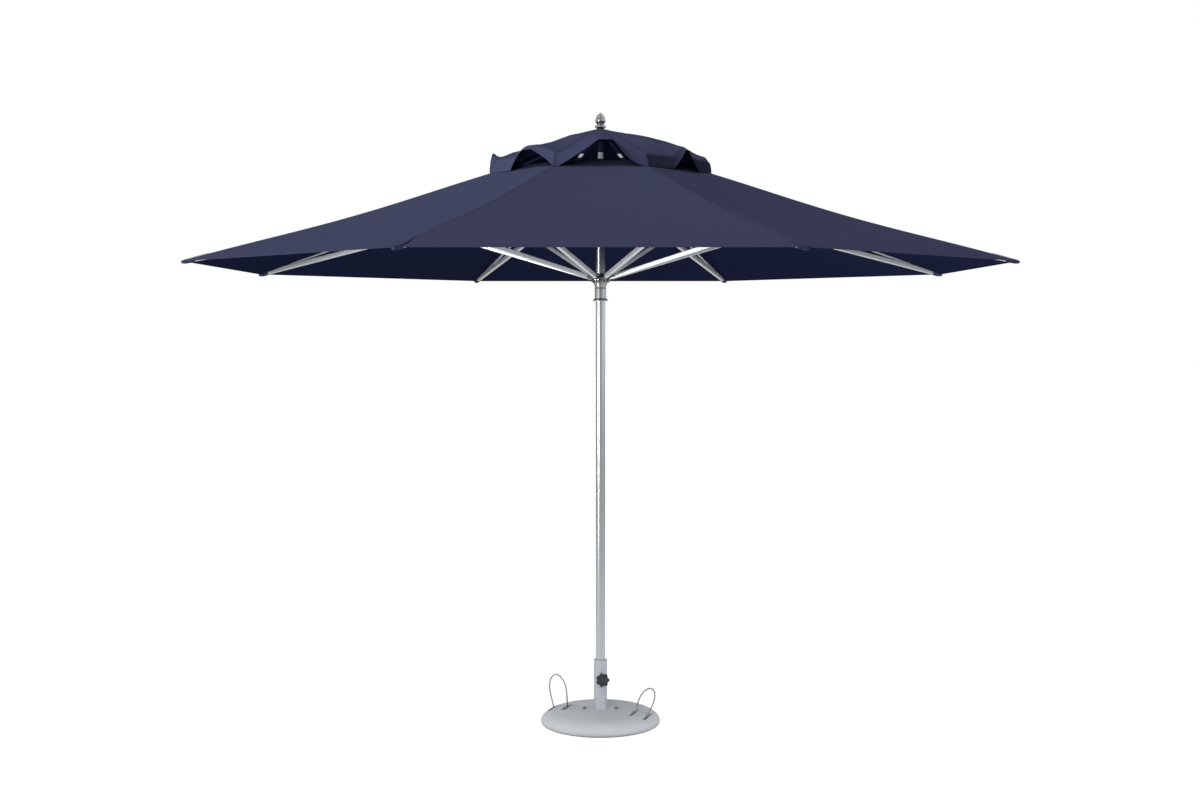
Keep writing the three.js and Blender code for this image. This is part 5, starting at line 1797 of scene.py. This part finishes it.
class UMBRELLA_OT_clamp(bpy.types.Operator):
    """Builds the clamp's boss, screw and lobed knob"""
    bl_idname = "umbrella.build_clamp"
    bl_label = "Build Clamp"

    def execute(self, context):
        base = context.scene.umbrella_base
        place = clamp_frame() @ ACROSS
        profile = [(0.0053, 0.0318), (0.0105, 0.0318), (0.0105, 0.0455), (0.0053, 0.0455)]
        boss = turned(profile, 0.0009, 48)
        weld = [(0.0122 * math.cos(a), 0.0122 * math.sin(a), 0.0338 - 0.0022 * math.cos(2 * a))
                for a in np.linspace(0, 2 * math.pi, 73)[:-1]]
        piece = Piece("clamp_nut_boss")
        piece.add(boss, place, paint())
        piece.add(wire(weld, 0.0020, paint(), closed=True, sides=10, spacing=0.001), place, paint())
        piece.finish("base", "steel_paint", "clamp_boss")
        crest, root, pitch, threads = 0.0050, 0.00435, 0.0015, 24
        profile = [(0, 0.0243), (0.0044, 0.0243), (crest, 0.0250)]
        for i in range(threads):
            z = 0.0255 + i * pitch
            profile += [(crest, z), (crest, z + 0.0004), (root, z + pitch / 2), (crest, z + 0.0011)]
        profile += [(crest, 0.0617), (0.0046, 0.062), (0, 0.062)]
        screw = Piece("clamp_screw_rod").add(lathe(profile, 32), place, zinc())
        screw.finish("clamp_screw", "zinc", "clamp_stud", sharp=60)
        star = plate([knob_outline(base.lobes, 0.0338)], 0.020, 0.0045, 4)
        profile = [(0.0054, 0.046), (0.0115, 0.046), (0.0130, 0.048), (0.0135, 0.056), (0.0054, 0.056)]
        hub = turned(profile, 0.0010, 48)
        cap = lathe([(0, 0.0700), (0.0125, 0.0700), (0.0125, 0.0716), (0.0118, 0.0722), (0.0100, 0.0722),
                     (0.0092, 0.0717), (0, 0.0719)], 48)
        profile = [(0.0150, 0.0700), (0.0205, 0.0700), (0.0205, 0.0714), (0.0150, 0.0714)]
        dish = turned(profile, 0.0006, 64)
        piece = Piece("clamp_grip")
        piece.add(star, place @ shift(0, 0, 0.061), nylon())
        for mesh in (hub, cap, dish):
            piece.add(mesh, place, nylon())
        piece.finish("clamp_handwheel", "nylon", "clamp_knob")
        return {"FINISHED"}


def blend(a, b, start, end, t):
    """Goes from a to b while t goes from start to end."""
    return a * ((end - t) / (end - start)) + b * ((t - start) / (end - start))


def spline_through(points, per_span=10):
    """A smooth run through points, by centripetal steps."""
    points = [Vector(p) for p in points]
    ends = [2 * points[0] - points[1]] + points + [2 * points[-1] - points[-2]]
    made = []
    for i in range(len(ends) - 3):
        span, times = ends[i:i + 4], [0.0]
        for a, b in zip(span, span[1:]):
            times.append(times[-1] + max((b - a).length, AXIS) ** 0.5)
        for j in range(per_span):
            t = times[1] + (times[2] - times[1]) * j / per_span
            first = [blend(span[n], span[n + 1], times[n], times[n + 1], t) for n in range(3)]
            second = [blend(first[n], first[n + 1], times[n], times[n + 2], t) for n in range(2)]
            made.append(blend(*second, times[1], times[2], t))
    return made + [points[-1]]


class UMBRELLA_OT_handles(bpy.types.Operator):
    """Builds the two bent wire handles"""
    bl_idname = "umbrella.build_handles"
    bl_label = "Build Handles"

    def execute(self, context):
        base = context.scene.umbrella_base
        wide = base.slot_offset
        side = [(wide - 0.008, 0), (wide - 0.001, 0.005), (wide + 0.002, 0.022), (wide + 0.006, 0.060),
                (wide + 0.009, 0.098), (wide + 0.006, 0.135), (wide - 0.005, 0.164), (wide - 0.020, 0.180)]
        path = [(0.0004, 0)] + side + [(0, 0.185)] + [(-u, v) for u, v in reversed(side)] + [(-0.0004, 0)]
        points = spline_through([(u, 0, v) for u, v in path])
        loop = wire(points, base.wire, zinc(), sides=16, spacing=0.003)
        for name, (lean, swing, narrow) in HANDLE_RESTS.items():
            pivot, turn = handle_place(name)
            rest = Matrix.Rotation(-math.radians(swing), 4, "X") @ Matrix.Rotation(math.radians(lean), 4, "Y")
            place = Matrix.Translation(pivot) @ turn @ rest @ Matrix.Diagonal((narrow, 1, 1, 1))
            carry = Piece(f"carry_wire_{name}").add(loop, place, zinc())
            carry.finish(f"handle_{name}", "zinc", f"carry_handle_{name}")
        return {"FINISHED"}


# ---------- Stage ----------
FLOOR_HALF = 60  # half the floor's side, in metres
LENS_SHIFT = (-0.0004, -0.0568)  # how far the frame lies to the right and up, in shares of its width
FLOOR_GLOW = 0.93  # what the floor shows by itself; the lamps bring it up to white
SUNS = (  # name, width in degrees, way it shines
    ("key", 30, (0.47, 0.10, -0.88)),
    ("front", 40, (0.50, 0.84, -0.20)))
SOFT_BOXES = (  # name, side, beam's width in degrees, place, what it faces, whether metal mirrors it
    ("low", 1.0, 180, (-0.4, -2.2, 1.5), (0, 0, 0.05), False),
    ("side", 1.2, 45, (-4.6, -4.3, 1.4), (0, 0, 2.2), True),
    ("right", 1.2, 180, (3.4, -0.8, 0.9), (0, 0, 0.4), False))
WHITE = (1, 1, 1, 1)


def add_light(name, kind, strength, aim, mirrored=False):
    """A light that shines along aim."""
    light = bpy.data.lights.new(name, kind)
    light.energy = strength
    made = linked(name, light)
    made.rotation_euler = Vector(aim).to_track_quat("-Z", "Y").to_euler()
    made.visible_glossy = mirrored
    return made


def seen_otherwise(tree, mirrored, rest, plain):
    """One look for reflections, one for all other light, and one that the camera sees straight."""
    rays = tree.nodes.new("ShaderNodeLightPath").outputs
    inner = add_node(tree, "ShaderNodeMixShader", {0: rays["Is Glossy Ray"], 1: rest.outputs[0],
                                                   2: mirrored.outputs[0]})
    clear = calc(tree, "MAXIMUM", rays["Is Camera Ray"], rays["Is Transmission Ray"])
    made = add_node(tree, "ShaderNodeMixShader", {0: clear, 1: inner.outputs[0], 2: plain.outputs[0]})
    return made.outputs[0]


def surroundings(stage):
    """A world that looks white, lights more from the left, and mirrors a studio of dark and pale sides."""
    world = bpy.data.worlds.new("surroundings")
    world.use_nodes = True
    tree = world.node_tree
    tree.nodes.clear()
    end = tree.nodes.new("ShaderNodeOutputWorld")
    facing = tree.nodes.new("ShaderNodeTexCoord").outputs["Generated"]
    way = add_node(tree, "ShaderNodeSeparateXYZ", {0: facing})
    left = spread(tree, way.outputs[0], -0.55, 0.05, 1.10, 0.50)
    right = spread(tree, way.outputs[0], 0.25, 0.85, 0.0, 0.75)
    sides = spread(tree, way.outputs[0], -0.95, 0.95, 0.60, 1.00)
    behind = spread(tree, way.outputs[1], -0.25, 0.15, 0.0, 1.0)
    front = calc(tree, "MULTIPLY", calc(tree, "ADD", left, right), calc(tree, "SUBTRACT", 1.0, behind))
    gloss = calc(tree, "MULTIPLY_ADD", behind, sides, front)
    leaning = calc(tree, "MULTIPLY_ADD", way.outputs[0], -0.9 * stage.fill, stage.fill)
    even = add_node(tree, "ShaderNodeBackground", {"Color": (0.97, 0.985, 1.0, 1), "Strength": leaning})
    shiny = add_node(tree, "ShaderNodeBackground", {"Color": WHITE, "Strength": gloss})
    plain = add_node(tree, "ShaderNodeBackground", {"Color": WHITE, "Strength": 1.0})
    tree.links.new(seen_otherwise(tree, shiny, even, plain), end.inputs[0])
    return world


def floor_material(stage):
    """Near white to the camera, greyer to the light that bounces off it and in reflections."""
    material = bpy.data.materials.new("floor")
    material.use_nodes = True
    tree = material.node_tree
    tree.nodes.clear()
    end = tree.nodes.new("ShaderNodeOutputMaterial")
    matt = add_node(tree, "ShaderNodeBsdfDiffuse", {"Color": full(stage.floor)})
    glow = add_node(tree, "ShaderNodeEmission", {"Color": WHITE, "Strength": FLOOR_GLOW})
    lit = add_node(tree, "ShaderNodeAddShader", {0: matt.outputs[0], 1: glow.outputs[0]})
    place = tree.nodes.new("ShaderNodeTexCoord").outputs["Object"]
    away = add_node(tree, "ShaderNodeVectorMath", {0: place}, operation="LENGTH").outputs["Value"]
    dull = add_node(tree, "ShaderNodeBsdfDiffuse", {"Color": spread(tree, away, 0.5, 1.4, 0.06, 0.50)})
    shine = spread(tree, away, 1.5, 9.0, 0.85, 0.42)
    pale = add_node(tree, "ShaderNodeEmission", {"Color": WHITE, "Strength": shine})
    tree.links.new(seen_otherwise(tree, pale, dull, lit), end.inputs[0])
    return material


class UMBRELLA_OT_stage(bpy.types.Operator):
    """Sets the camera, the lights, the floor and the pale surroundings"""
    bl_idname = "umbrella.build_stage"
    bl_label = "Build Stage"

    def execute(self, context):
        stage = context.scene.umbrella_stage
        data = bpy.data.cameras.new("camera")
        data.lens = stage.lens
        data.shift_x, data.shift_y = LENS_SHIFT
        data.clip_end = 200
        camera = linked("camera", data)
        camera.location = (0, -stage.distance, stage.height)
        camera.rotation_euler = (math.pi / 2, 0, 0)
        context.scene.camera = camera
        for name, wide, aim in SUNS:
            made = add_light(name, "SUN", getattr(stage, name), aim)
            made.data.angle = math.radians(wide)
        for name, size, beam, place, target, mirrored in SOFT_BOXES:
            aim = Vector(target) - Vector(place)
            made = add_light(name, "AREA", getattr(stage, name), aim, mirrored)
            made.location = place
            made.data.size, made.data.spread = size, math.radians(beam)
        context.scene.world = surroundings(stage)
        half = FLOOR_HALF
        corners = [(-half, -half, 0), (half, -half, 0), (half, half, 0), (-half, half, 0)]
        floor = linked("floor", make_mesh(corners, [(0, 1, 2, 3)]))
        floor.data.materials.append(floor_material(stage))
        context.scene.view_settings.view_transform = "Standard"
        return {"FINISHED"}


class UMBRELLA_PT_sidebar(bpy.types.Panel):
    """Lists the steps that build the umbrella"""
    bl_idname = "UMBRELLA_PT_sidebar"
    bl_label = "Patio Umbrella"
    bl_space_type = "VIEW_3D"
    bl_region_type = "UI"
    bl_category = "Umbrella"

    def draw(self, context):
        for name in SETTINGS:
            box = self.layout.box()
            group = getattr(context.scene, name)
            for key in group.bl_rna.properties.keys():
                if key not in ("rna_type", "name"):
                    box.prop(group, key)
        for step in STEPS:
            self.layout.operator(step.bl_idname)


STEPS = (UMBRELLA_OT_stage, UMBRELLA_OT_canopy, UMBRELLA_OT_vent_cap, UMBRELLA_OT_ribs, UMBRELLA_OT_struts,
         UMBRELLA_OT_vent_arms, UMBRELLA_OT_hub, UMBRELLA_OT_runner, UMBRELLA_OT_mast, UMBRELLA_OT_finial,
         UMBRELLA_OT_base, UMBRELLA_OT_sleeve, UMBRELLA_OT_clamp, UMBRELLA_OT_handles)


def register():
    """Makes the settings, the steps and the panel known."""
    for kind in (*SETTINGS.values(), *STEPS, UMBRELLA_PT_sidebar):
        bpy.utils.register_class(kind)
    for name, kind in SETTINGS.items():
        setattr(bpy.types.Scene, name, PointerProperty(type=kind))


def unregister():
    """Takes them away again."""
    for name in SETTINGS:
        delattr(bpy.types.Scene, name)
    for kind in (UMBRELLA_PT_sidebar, *reversed(STEPS), *reversed(list(SETTINGS.values()))):
        bpy.utils.unregister_class(kind)


def main():
    """Builds everything."""
    register()
    for step in STEPS:
        group, name = step.bl_idname.split(".")
        getattr(getattr(bpy.ops, group), name)()


if __name__ == "__main__":
    main()
